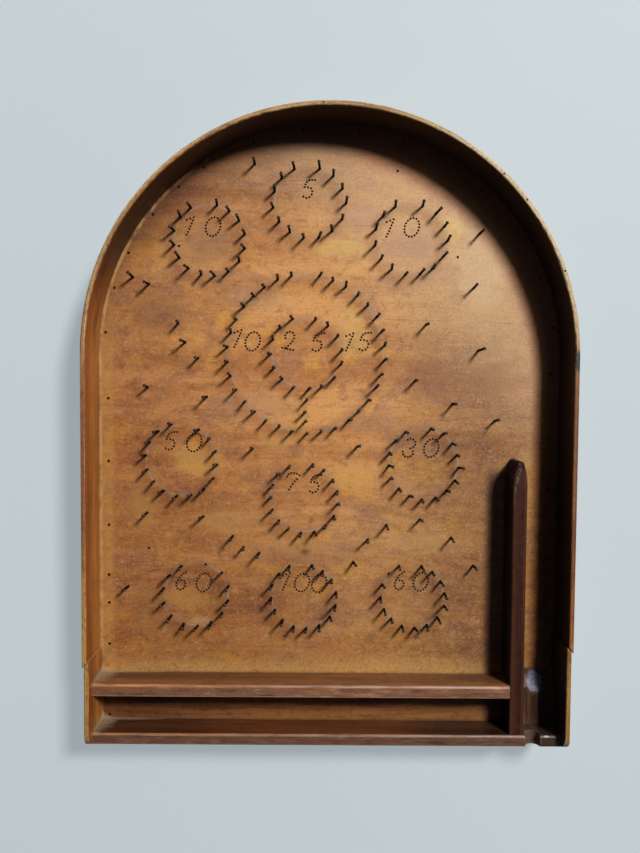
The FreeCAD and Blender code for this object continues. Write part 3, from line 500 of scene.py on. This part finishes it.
def make_panel_material():
    s = Shade("old_varnished_panel")
    p = PanelPatterns(s)
    colour = varnish(s, p)
    for worked in (broad_tints, mottling, old_stains, ball_wear, circle_marks, rim_side_shade,
                   foot_shade_and_dirt, cut_faces):
        colour = worked(s, p, colour)

    height = s.math("ADD", s.times(p.grain, 0.35), s.times(p.fibres, 0.22))
    height = s.math("ADD", height, s.math("ADD", s.times(p.mottle, 0.5), s.times(p.speckle, 0.35)))
    height = s.math("SUBTRACT", height, s.times(s.math("MAXIMUM", p.scratch, p.dark_scratch), 0.25))
    height = s.math("SUBTRACT", height, s.times(p.crack, 0.6))
    rough = s.math("ADD", s.step(p.blotch, 0.3, 0.7, 0.42, 0.56), s.times(p.scratch, 0.15))
    rough = s.math("ADD", rough, s.times(p.crevice_shade, 0.15))
    return s.finish(colour, rough, height, 0.26, specular=0.4)


# ---------------------------------------------------------------- the rim, rails, divider and block

def rim_run(s):
    """A place along the bent strip, its height and its depth, in millimetres."""
    above = s.past(s.y, ARCH_Y)
    below = s.past(ARCH_Y, s.y)
    angle = s.math("ARCTAN2", s.x, above)
    side = s.math("SIGN", s.x)
    run = s.math("ADD", s.math("MULTIPLY", angle, HALF), s.math("MULTIPLY", side, below))
    depth = s.vector("LENGTH", s.join(s.x, above, 0.0))
    return s.join(run, s.z, depth), run, depth


def rim_crown(s, where, grain):
    """The upper edge, which has lost its varnish, most of all round the arch."""
    pale = s.ramp(s.step(grain, 0.30, 0.72), [(0.0, "8d6a3d"), (0.45, "ab8a57"), (1.0, "c2a472")])
    browned = s.ramp(s.step(grain, 0.30, 0.72), [(0.0, "6b3c1f"), (0.5, "8c5834"), (1.0, "ab7a4e")])
    gilded = s.ramp(s.step(grain, 0.30, 0.72), [(0.0, "8a5f2c"), (0.5, "a87c3e"), (1.0, "c09a58")])
    crown = s.mix(s.step(s.y, -70.0, -110.0), browned, gilded)
    crown = s.mix(s.step(s.y, 30.0, 110.0), crown, pale)
    crown = s.mix(s.times(s.step(s.x, 40.0, 130.0), s.step(s.y, 50.0, 90.0), 0.65), crown, tone("bcae8c"))
    soiled = s.times(s.step(s.noise(where, (0.035, 0.05, 0.3), 4.0, 0.65, 12.0), 0.50, 0.66), 0.7)
    crown = s.mix(soiled, crown, tone("6f4a29"))
    specks = s.noise(where, (0.35, 0.5, 0.8), 3.0, 0.7, 31.0)
    crown = s.tint(s.step(specks, 0.50, 0.34), crown, 0.60, 0.50, 0.42)
    return s.tint(s.step(specks, 0.54, 0.70), crown, 1.25, 1.25, 1.25)


def make_rim_material():
    s = Shade("bent_rim_wood")
    where, run, depth = rim_run(s)
    bands, grain, fibres = streaks(s, where, 0.009, 0.75, 2.0)
    blotch = s.noise(where, (0.018, 0.06, 0.06), 4.0, 0.6, 5.0, 0.4)
    mottle = s.noise(where, (0.12, 0.30, 0.30), 3.0, 0.6, 8.0)

    colour = s.ramp(s.step(bands, 0.30, 0.70), [(0.0, "80481f"), (0.5, "955a27"), (1.0, "a86a30")])
    colour = s.layer(colour, blotch, 0.50, 0.72, 0.6, "6a3a1a")
    colour = s.layer(colour, grain, 0.48, 0.70, 0.5, "633616")
    colour = s.layer(colour, grain, 0.45, 0.25, 0.45, "b87c3c")
    colour = s.layer(colour, fibres, 0.54, 0.74, 0.35, "54300f")
    scratch = scratches(s, where, (3, -8, 55), 16.0, 0.5, 0.68, 3.0)
    colour = s.mix(s.times(scratch, 0.25), colour, tone("c99a5e"))

    # The inner face is darker above and golden low down on the left.
    up = s.normal_axis(2)
    edge = s.step(up, 0.15, 0.75)
    inside = s.step(depth, FIELD_RADIUS + 1.6, FIELD_RADIUS + 0.6)
    rise = s.math("ADD", s.z, s.swing(blotch, 40.0))
    colour = s.tint(s.times(inside, s.step(rise, SURFACE + 6.0, RIM_TOP - 4.0)), colour, 0.66, 0.50, 0.36)

    crown = rim_crown(s, where, grain)
    colour = s.mix(s.times(edge, s.step(mottle, 0.22, 0.46, 0.60, 0.95)), colour, crown)
    # Rounded edges: the outer one rubbed pale, the inner one darkened with painted shade.
    rubbed = s.times(s.step(up, 0.98, 0.80), s.step(up, 0.10, 0.30), s.step(mottle, 0.34, 0.58, 0.2, 1.0))
    outward = s.step(depth, FIELD_RADIUS + 2.6, FIELD_RADIUS + 3.2)
    colour = s.mix(s.times(rubbed, outward, 0.55), colour, tone("c39a62"))
    colour = s.tint(s.times(rubbed, s.math("SUBTRACT", 1.0, outward)), colour, 0.62, 0.50, 0.40)
    right = s.times(edge, s.step(s.x, 100.0, 170.0))
    reddish = s.times(right, s.step(s.y, -56.0, -76.0), s.step(s.y, -168.0, -160.0))
    colour = s.tint(s.times(right, s.step(s.y, 110.0, 50.0)), colour, 0.80, 0.78, 0.66)
    colour = s.tint(reddish, colour, 0.72, 0.46, 0.40)
    core = s.times(right, s.step(s.y, 40.0, 20.0), s.near(depth, FIELD_RADIUS + 3.3, 1.3, 0.5))
    colour = s.tint(s.times(core, s.step(mottle, 0.3, 0.5)), colour, 0.60, 0.50, 0.42)

    # A dark burnt-looking patch on the right of the rim, where the arch begins.
    patch = s.times(s.near(s.y, BURNT_Y, 10.0, 5.0), s.step(s.x, 170.0, 180.0))
    patch = s.times(patch, s.step(s.z, RIM_TOP - 9.0, RIM_TOP - 2.0), s.step(blotch, 0.25, 0.5, 0.8, 1.0))
    colour = s.mix(s.times(patch, 0.96), colour, tone("100d0c"))
    flaked = s.times(patch, s.step(s.noise(where, (0.4, 0.4, 0.4), 2.0, 0.6, 35.0), 0.60, 0.68))
    colour = s.mix(s.times(flaked, 0.8), colour, tone("93897c"))

    # Darker low on the inner face except on the left, and painted shade on the inner face round the arch and
    # down the right side.
    low = s.step(s.math("ADD", s.z, s.math("MULTIPLY", mottle, 7.0)), SURFACE + 7.0, SURFACE + 1.0)
    colour = s.mix(s.times(inside, low, s.step(s.x, -150.0, -60.0), 0.55), colour, tone("4b2a13"))
    upper_left = s.times(inside, s.step(s.y, 60.0, 150.0), s.step(s.x, -60.0, -100.0))
    colour = s.tint(upper_left, colour, 0.86, 0.60, 0.38)
    painted_shade = s.math("MAXIMUM", s.step(s.math("ADD", s.x, s.math("MULTIPLY", s.y, 0.75)), -60.0, 110.0),
                    s.step(s.math("ADD", s.y, s.math("MULTIPLY", blotch, 60.0)), 110.0, 180.0))
    painted_shade = s.math("MAXIMUM", painted_shade, s.step(s.x, 60.0, 140.0))
    colour = s.mix(s.times(inside, painted_shade, s.step(edge, 0.6, 0.2), 0.90), colour, tone("1c0e07"))
    far_right_shade = s.times(inside, s.step(s.x, 60.0, 160.0), s.step(edge, 0.6, 0.2))
    colour = s.tint(far_right_shade, colour, 0.50, 0.50, 0.60)

    # Along the splices and in the rim's corners: a bare pale line on the left; on the right a dark line, dark
    # joints at the splices and painted shade in the corners.
    splices_and_corners = s.step(s.hollows(1.2), 0.25, 0.6)
    seam = s.mix(s.step(s.x, -20.0, 20.0), tone("cf9d6c"), tone("2b190c"))
    colour = s.mix(s.times(splices_and_corners, 0.6), colour, seam)
    dust = corner_dust(s)
    colour = s.mix(s.times(dust, inside, DUSTED), colour, tone(DUST))

    height = s.math("ADD", s.times(grain, 0.45), s.times(fibres, 0.3))
    height = s.math("SUBTRACT", height, s.times(scratch, 0.3))
    rough = s.math("ADD", s.step(mottle, 0.3, 0.7, 0.34, 0.46), s.times(edge, 0.16))
    return s.finish(colour, rough, height, 0.14)


def make_rail_material(name, axis, palette, worn, wear, shift):
    """Dark stained strip wood whose grain runs along one axis."""
    s = Shade(name)
    where = s.place if axis == "X" else s.turn(s.place, 90)
    bands, grain, fibres = streaks(s, where, 0.011, 0.62, shift)
    blotch = s.noise(where, (0.022, 0.09, 0.09), 4.0, 0.6, shift + 2.0, 0.4)
    mottle = s.noise(where, (0.16, 0.40, 0.40), 3.0, 0.6, shift + 5.0)
    dark, mid, light, deep = palette

    colour = s.ramp(s.step(bands, 0.30, 0.70), [(0.0, dark), (0.5, mid), (1.0, light)])
    colour = s.layer(colour, blotch, 0.50, 0.70, 0.55, deep)
    colour = s.layer(colour, grain, 0.48, 0.68, 0.60, deep)
    colour = s.layer(colour, grain, 0.44, 0.26, 0.35, light)
    colour = s.layer(colour, fibres, 0.56, 0.74, 0.35, deep)
    scratch = scratches(s, where, (4, -7, 38, 96), 13.0, 0.45, 0.66, shift + 9.0)
    colour = s.mix(s.times(scratch, 0.30), colour, tone(worn))

    top = s.step(s.normal_axis(2), 0.5, 0.9)
    rubbed = s.step(s.noise(where, (0.02, 0.25, 0.25), 4.0, 0.6, shift + 11.0), 0.36, 0.62, 0.25, 1.0)
    colour = s.mix(s.times(top, rubbed, wear), colour, tone(worn))
    edge = s.times(s.edges(1.5), s.step(mottle, 0.34, 0.60, 0.25, 1.0), s.step(s.normal_axis(2), -0.05, 0.1))
    colour = s.mix(s.times(edge, 0.75), colour, tone(worn))
    # Painted shade in the hollows where parts meet.
    hollow_shade = s.step(s.hollows(5.0), 0.30, 0.75)
    colour = s.mix(s.times(hollow_shade, 0.5), colour, tone("1c100a"))

    height = s.math("ADD", s.times(grain, 0.5), s.times(fibres, 0.3))
    height = s.math("SUBTRACT", height, s.times(scratch, 0.35))
    rough = s.math("ADD", s.step(mottle, 0.3, 0.7, 0.36, 0.50), s.times(edge, 0.12))
    return s, colour, rough, height


def make_rails():
    s, colour, rough, height = make_rail_material(
        "reddish_rail_wood", "X", ("4f2c19", "67401f", "7d4d2c", "371c12"), "a87a52", 0.10, 61.0)
    side = s.normal_axis(1)
    top = s.step(s.normal_axis(2), 0.5, 0.9)
    # The bottom rail's inner face is darkened with painted shade, most towards the right, with a painted pool
    # of light in its middle and dust in the lane.
    inner = s.times(s.step(side, 0.4, 0.8), s.step(s.y, bottom_high.y + 1.0, bottom_high.y + 0.2))
    colour = s.tint(inner, colour, 0.42, 0.32, 0.28)
    lit = s.times(inner, s.step(s.x, -120.0, -50.0), s.step(s.x, 90.0, 40.0))
    colour = s.tint(lit, colour, 1.75, 1.55, 1.30)
    colour = s.tint(s.times(inner, s.step(s.x, 50.0, 110.0)), colour, 0.56, 0.58, 0.66)
    fluff = s.noise(s.place, (0.20, 0.2, 0.22), 4.0, 0.7, 68.0)
    in_lane = s.times(inner, s.step(s.x, divider_high.x, divider_high.x + 1.0),
                      s.step(fluff, 0.36, 0.56, 0.35, 1.0))
    colour = s.mix(s.times(in_lane, 0.4), colour, tone("4a3d30"))
    # The top faces are browner, rubbed pale along both edges.
    for rail_low, rail_high in ((upper_low, upper_high), (bottom_low, bottom_high)):
        within = s.times(s.step(s.y, rail_low.y - 0.5, rail_low.y),
                         s.step(s.y, rail_high.y + 0.5, rail_high.y))
        crest = s.near(s.y, rail_high.y - 1.2, 1.2, 0.4)
        brink = s.near(s.y, rail_low.y + 0.5, 0.9, 0.3)
        patchy = s.step(s.noise(s.place, (0.035, 0.3, 0.3), 4.0, 0.65, rail_low.y), 0.34, 0.56, 0.25, 1.0)
        rubs = s.noise(s.place, (0.055, 0.26, 0.3), 5.0, 0.72, rail_low.y + 3.0)
        colour = s.mix(s.times(top, within, 0.40), colour, tone("7d5844"))
        colour = s.mix(s.times(top, within, s.step(rubs, 0.52, 0.68), 0.70), colour, tone("a37c62"))
        colour = s.mix(s.times(top, within, s.step(rubs, 0.46, 0.30), 0.75), colour, tone("482b1d"))
        lifted = s.step(s.normal_axis(2), 0.25, 0.6)
        crest_hue = s.mix(s.step(s.x, -130.0, 20.0), tone("bd7f52"), tone("a58877"))
        kept = s.step(s.x, NOTCH_X + 4.0, NOTCH_X - 4.0)
        colour = s.mix(s.times(lifted, crest, within, patchy, kept, 0.72), colour, crest_hue)
        colour = s.mix(s.times(lifted, brink, within, patchy, 0.55), colour, tone("a08673"))
    colour = s.tint(s.times(top, s.step(s.y, bottom_high.y + 1.0, bottom_high.y)), colour, 0.62, 0.63, 0.66)
    threads = s.noise(s.place, (0.045, 1.1, 1.1), 4.0, 0.7, 64.0)
    colour = s.tint(s.step(threads, 0.52, 0.66), colour, 0.62, 0.54, 0.50)
    colour = s.tint(s.step(threads, 0.46, 0.32), colour, 1.22, 1.24, 1.10)
    # The notch is darker, and beyond it the rail is dark, with one pale spot on its edge, rubbed wood with a
    # painted glint.
    hollow = s.times(s.near(s.x, NOTCH_X, 6.6, 5.8),
                     s.step(s.y, bottom_high.y + 1.0, bottom_high.y),
                     s.step(s.z, bottom_high.z - 11.0, bottom_high.z - 9.0),
                     s.step(s.z, bottom_high.z - 0.1, bottom_high.z - 0.6))
    colour = s.mix(s.times(hollow, 0.75), colour, s.ramp(fluff, [(0.3, "21150d"), (0.7, "44301e")]))
    rough = s.math("ADD", rough, s.times(hollow, 0.4))
    beyond = s.times(s.step(s.x, NOTCH_X + 5.0, NOTCH_X + 8.0),
                     s.step(s.y, bottom_high.y + 1.0, bottom_high.y), s.step(side, -0.9, -0.6))
    colour = s.mix(s.times(beyond, 0.85), colour, tone("2b1a16"))
    spot = s.away((NOTCH_X + 11.0, bottom_high.y - 0.9, 0.0), (0.26, 0.95, 0.0))
    spot = s.math("ADD", spot, s.noise(s.place, (0.5, 0.5, 0.5), 3.0, 0.6, 66.0))
    spot = s.times(s.step(spot, 1.2, 0.9), s.step(s.normal_axis(2), 0.2, 0.6))
    colour = s.mix(s.times(spot, 0.7), colour, tone("a39389"))
    colour = s.mix(s.times(corner_dust(s), DUSTED), colour, tone(DUST))
    return s.finish(colour, rough, height, 0.14)


def make_divider():
    s, colour, rough, height = make_rail_material(
        "dark_divider_wood", "Y", ("26100b", "34180f", "432214", "160906"), "5e3727", 0.10, 73.0)
    # The point is rubbed pale along its middle.
    middle = (divider_low.x + divider_high.x) / 2
    tip = divider_high.y
    leftmost = s.math("ADD", middle - 4.6, s.step(s.y, tip - 26.0, tip - 4.0, 0.0, 4.2))
    # Painted shade on the left flank, which faces away from the light.
    left_flank_shade = s.step(s.normal_axis(0), -0.3, -0.8)
    colour = s.tint(left_flank_shade, colour, 0.30, 0.28, 0.30)
    colour = s.tint(s.step(s.y, tip - 9.0, tip - 4.0), colour, 0.40, 0.34, 0.34)
    rub = s.times(s.near(s.x, leftmost, 1.5, 0.5), s.step(s.y, tip - 48.0, tip - 10.0),
                  s.step(s.noise(s.place, (0.9, 0.45, 0.6), 4.0, 0.7, 77.0), 0.50, 0.62),
                  s.step(s.normal_axis(2), 0.2, 0.6))
    colour = s.mix(s.times(rub, 0.60), colour, tone("a08072"))
    end_grain = s.times(s.step(s.y, tip - 8.0, tip - 3.0), s.step(s.normal_axis(1), 0.1, 0.4))
    colour = s.mix(s.times(end_grain, 0.85), colour, tone("170d09"))
    right_edge = s.near(s.x, divider_high.x - 1.6, 1.5, 0.5)
    patchy = s.step(s.noise(s.place, (0.3, 0.02, 0.3), 3.0, 0.6, 79.0), 0.38, 0.58, 0.2, 1.0)
    right_edge = s.times(right_edge, patchy)
    colour = s.mix(s.times(right_edge, s.step(s.normal_axis(2), 0.3, 0.8), 0.28), colour, tone("6b3520"))
    rough = s.math("ADD", rough, s.step(s.y, tip - 16.0, tip - 8.0, 0.0, 0.4))
    return s.finish(colour, rough, height, 0.14, specular=0.22)


def make_block():
    s, colour, rough, height = make_rail_material(
        "worn_block_wood", "Y", ("2c1a12", "382115", "4a2c1a", "180d08"), "6d4c34", 0.10, 87.0)
    torn = s.noise(s.place, (0.20, 0.16, 0.2), 4.0, 0.72, 91.0)
    fine = s.noise(s.place, (0.7, 0.5, 0.7), 3.0, 0.7, 93.0)
    # Brown stripes where the push stick runs.
    stripes = s.noise(s.place, (0.30, 0.012, 0.2), 3.0, 0.6, 95.0)
    along = s.times(s.near(s.x, NOTCH_X + 3.0, 9.0, 5.0),
                    s.step(stripes, 0.44, 0.60))
    colour = s.mix(s.times(along, 0.70), colour, tone("70492a"))
    # A round patch on the scooped end is worn bare, its pale bluish colour in part a painted reflection.
    out = s.away((divider_high.x + 14.5, block_high.y - 9.5, 0.0), (0.150, 0.105, 0.0))
    out = s.math("ADD", out, s.swing(torn, 1.5))
    bare = s.ramp(s.step(fine, 0.3, 0.7), [(0.0, "5f6078"), (1.0, "a2a7c4")])
    bare = s.tint(s.step(torn, 0.46, 0.34), bare, 0.45, 0.42, 0.42)
    colour = s.mix(s.times(s.step(out, 1.15, 0.60), 0.9), colour, bare)
    dusty = s.times(s.step(s.y, block_low.y + 7.0, block_low.y + 1.5), s.step(torn, 0.3, 0.55, 0.4, 1.0))
    colour = s.mix(s.times(dusty, 0.35), colour, tone("4a3d30"))
    return s.finish(colour, rough, height, 0.2)


def make_ledger_material():
    s = Shade("bare_ledger_wood")
    bands, grain, fibres = streaks(s, s.place, 0.012, 0.6, 101.0)
    mottle = s.noise(s.place, (0.08, 0.10, 0.10), 4.0, 0.65, 104.0)
    colour = s.ramp(s.step(bands, 0.3, 0.7), [(0.0, "86643d"), (0.5, "9c7a4c"), (1.0, "b3905f")])
    colour = s.layer(colour, grain, 0.48, 0.70, 0.5, "6e4e2d")
    colour = s.layer(colour, mottle, 0.52, 0.70, 0.5, "5f462c")
    colour = s.layer(colour, fibres, 0.55, 0.75, 0.3, "c6a877")
    colour = s.mix(s.times(s.edges(1.2), 0.4), colour, tone("5a4129"))
    height = s.math("ADD", s.times(grain, 0.6), s.times(fibres, 0.4))
    return s.finish(colour, s.step(mottle, 0.3, 0.7, 0.62, 0.78), height, 0.2, specular=0.3)


# ---------------------------------------------------------------- metal

def make_iron(name, colours, roughs, metallic, shift, specular=0.2):
    """Old iron, its colour, rust and roughness uneven."""
    s = Shade(name)
    patina = s.noise(s.place, (0.35, 0.35, 0.35), 4.0, 0.65, shift)
    fine = s.noise(s.place, (2.2, 2.2, 2.2), 3.0, 0.6, shift + 4.0)
    dark, mid, rust = colours
    colour = s.ramp(s.step(patina, 0.32, 0.66), [(0.0, dark), (1.0, mid)])
    up = s.normal_axis(2)
    # A painted highlight: a thin pale ring round the top of each pin's head.
    crown = s.times(s.step(up, 0.40, 0.62), s.step(up, 0.97, 0.90),
                    s.step(s.z, SURFACE + 9.0, SURFACE + 10.0))
    colour = s.mix(s.times(crown, s.step(patina, 0.3, 0.6, 0.6, 0.2)), colour, tone("86705f"))
    rusty = s.times(s.step(fine, 0.52, 0.70), s.step(patina, 0.45, 0.62, 0.2, 0.8))
    colour = s.mix(rusty, colour, tone(rust))
    rough = s.math("ADD", s.step(fine, 0.3, 0.7, *roughs), s.times(rusty, 0.2))
    shine = s.math("SUBTRACT", metallic, s.times(rusty, 0.6))
    return s.finish(colour, rough, fine, 0.04, metallic=shine, specular=specular)


# ---------------------------------------------------------------- materials on the nodes

panel_wood = make_panel_material()
rim_wood = make_rim_material()
rail_wood = make_rails()
divider_wood = make_divider()
block_wood = make_block()
ledger_wood = make_ledger_material()
pin_iron = make_iron("pin_iron", ("080504", "110a07", "2a140b"), (0.58, 0.76), 0.10, 3.0, 0.06)
nail_iron = make_iron("nail_iron", ("1b1411", "2e231d", "55331f"), (0.42, 0.60), 0.7, 17.0)
screw_iron = make_iron("screw_iron", ("4d463f", "777067", "6a4429"), (0.34, 0.52), 0.9, 29.0)

FINISHES = [
    (panel_wood, ("base_panel",)),
    (rim_wood, ("rim_",)),
    (rail_wood, ("upper_rail", "bottom_rail")),
    (divider_wood, ("lane_divider",)),
    (block_wood, ("lane_block",)),
    (ledger_wood, ("ledger_",)),
    (pin_iron, ("pins_",)),
    (nail_iron, ("panel_nails", "rim_nails", "rail_nails")),
    (screw_iron, ("upper_rail_screws", "bottom_rail_screws", "divider_screws", "block_screw")),
]

for material, starts in FINISHES:
    for name, node in nodes.items():
        if name.startswith(starts):
            for slot in node.material_slots:
                slot.material = material


# ---------------------------------------------------------------- floor, light and camera

STAGE_REACH = 5.0
STAGE_HEIGHT = 5.0
STAGE_SIDES = 96
FLOOR_GLOW = 0.6
GLOW_STRENGTH = 0.92
LIGHT_COLOUR = (1.0, 0.97, 0.93)
FILL = 0.025
KEY_PLACE = Vector((1.64, 1.79, 2.52))
KEY_SIZE = 0.74
KEY_POWER = 167.0
CAMERA_PLACE = Vector((-0.0086, 0.02245, 0.5401))
CAMERA_TURNS = (2.16, 0.143, -0.42)
CAMERA_LENS = 27.43
SENSOR_HEIGHT = 36.0
NEAREST, FARTHEST = 0.01, 100.0


def make_stage():
    """Pale floor and, far round it, a pale backdrop that is open above."""
    sides = STAGE_SIDES
    turns = [2 * math.pi * i / sides for i in range(sides)]
    ring = [(STAGE_REACH * math.cos(turn), STAGE_REACH * math.sin(turn)) for turn in turns]
    corners = [(x, y, 0.0) for x, y in ring] + [(x, y, STAGE_HEIGHT) for x, y in ring]
    walls = [(i, (i + 1) % sides, sides + (i + 1) % sides, sides + i) for i in range(sides)]
    mesh = bpy.data.meshes.new("floor_and_backdrop")
    mesh.from_pydata(corners, [], [tuple(range(sides))] + walls)
    stage = bpy.data.objects.new("floor_and_backdrop", mesh)
    scene.collection.objects.link(stage)
    mesh.materials.append(make_stage_material())


def make_stage_material():
    """Matt pale paint that keeps soft shadows; the camera and reflections see it a little lit."""
    s = Shade("pale_floor")
    cloud = s.noise(s.place, (0.002, 0.002, 0.002), 2.0, 0.5, 5.0)
    colour = s.ramp(s.step(cloud, 0.3, 0.7), [(0.0, "c7d2d8"), (1.0, "c9d4d9")])
    matt = s.tree.nodes.new("ShaderNodeBsdfDiffuse")
    s.put(matt.inputs["Color"], colour)
    glow = s.tree.nodes.new("ShaderNodeEmission")
    s.put(glow.inputs["Color"], colour)
    glow.inputs["Strength"].default_value = GLOW_STRENGTH
    seen = seen_directly(s.tree)
    mix = s.tree.nodes.new("ShaderNodeMixShader")
    s.put(mix.inputs[0], s.math("MULTIPLY", seen, FLOOR_GLOW))
    s.put(mix.inputs[1], matt.outputs[0])
    s.put(mix.inputs[2], glow.outputs[0])
    s.put(s.output.inputs["Surface"], mix.outputs[0])
    return s.material


def seen_directly(tree):
    """1 for what the camera sees, straight or by a reflection or through glass."""
    path = tree.nodes.new("ShaderNodeLightPath")
    either = path.outputs["Is Camera Ray"]
    for ray in ("Is Glossy Ray", "Is Transmission Ray"):
        most = tree.nodes.new("ShaderNodeMath")
        most.operation = "MAXIMUM"
        tree.links.new(either, most.inputs[0])
        tree.links.new(path.outputs[ray], most.inputs[1])
        either = most.outputs[0]
    return either


def make_world():
    """Faint even fill from above."""
    world = bpy.data.worlds.new("studio")
    scene.world = world
    world.use_nodes = True
    background = world.node_tree.nodes["Background"]
    background.inputs["Color"].default_value = (*LIGHT_COLOUR, 1.0)
    background.inputs["Strength"].default_value = FILL


def make_key():
    """The main soft light, above the board's upper right."""
    light = bpy.data.lights.new("key", "AREA")
    light.shape = "DISK"
    light.size = KEY_SIZE
    light.energy = KEY_POWER
    light.color = LIGHT_COLOUR
    lamp = bpy.data.objects.new("key", light)
    lamp.location = KEY_PLACE
    lamp.rotation_euler = (Vector((0.0, 0.0, 0.0)) - KEY_PLACE).to_track_quat("-Z", "Y").to_euler()
    scene.collection.objects.link(lamp)


def make_camera():
    data = bpy.data.cameras.new("camera")
    data.sensor_fit = "VERTICAL"
    data.sensor_height = SENSOR_HEIGHT
    data.lens = CAMERA_LENS
    data.clip_start = NEAREST
    data.clip_end = FARTHEST
    camera = bpy.data.objects.new("camera", data)
    pitch, yaw, roll = (math.radians(angle) for angle in CAMERA_TURNS)
    to_camera = Matrix.Rotation(roll, 3, "Z") @ Matrix.Rotation(pitch, 3, "X") @ Matrix.Rotation(yaw, 3, "Y")
    camera.matrix_world = Matrix.Translation(CAMERA_PLACE) @ to_camera.transposed().to_4x4()
    scene.collection.objects.link(camera)
    scene.camera = camera


make_stage()
make_world()
make_key()
make_camera()

scene.view_settings.view_transform = "Standard"
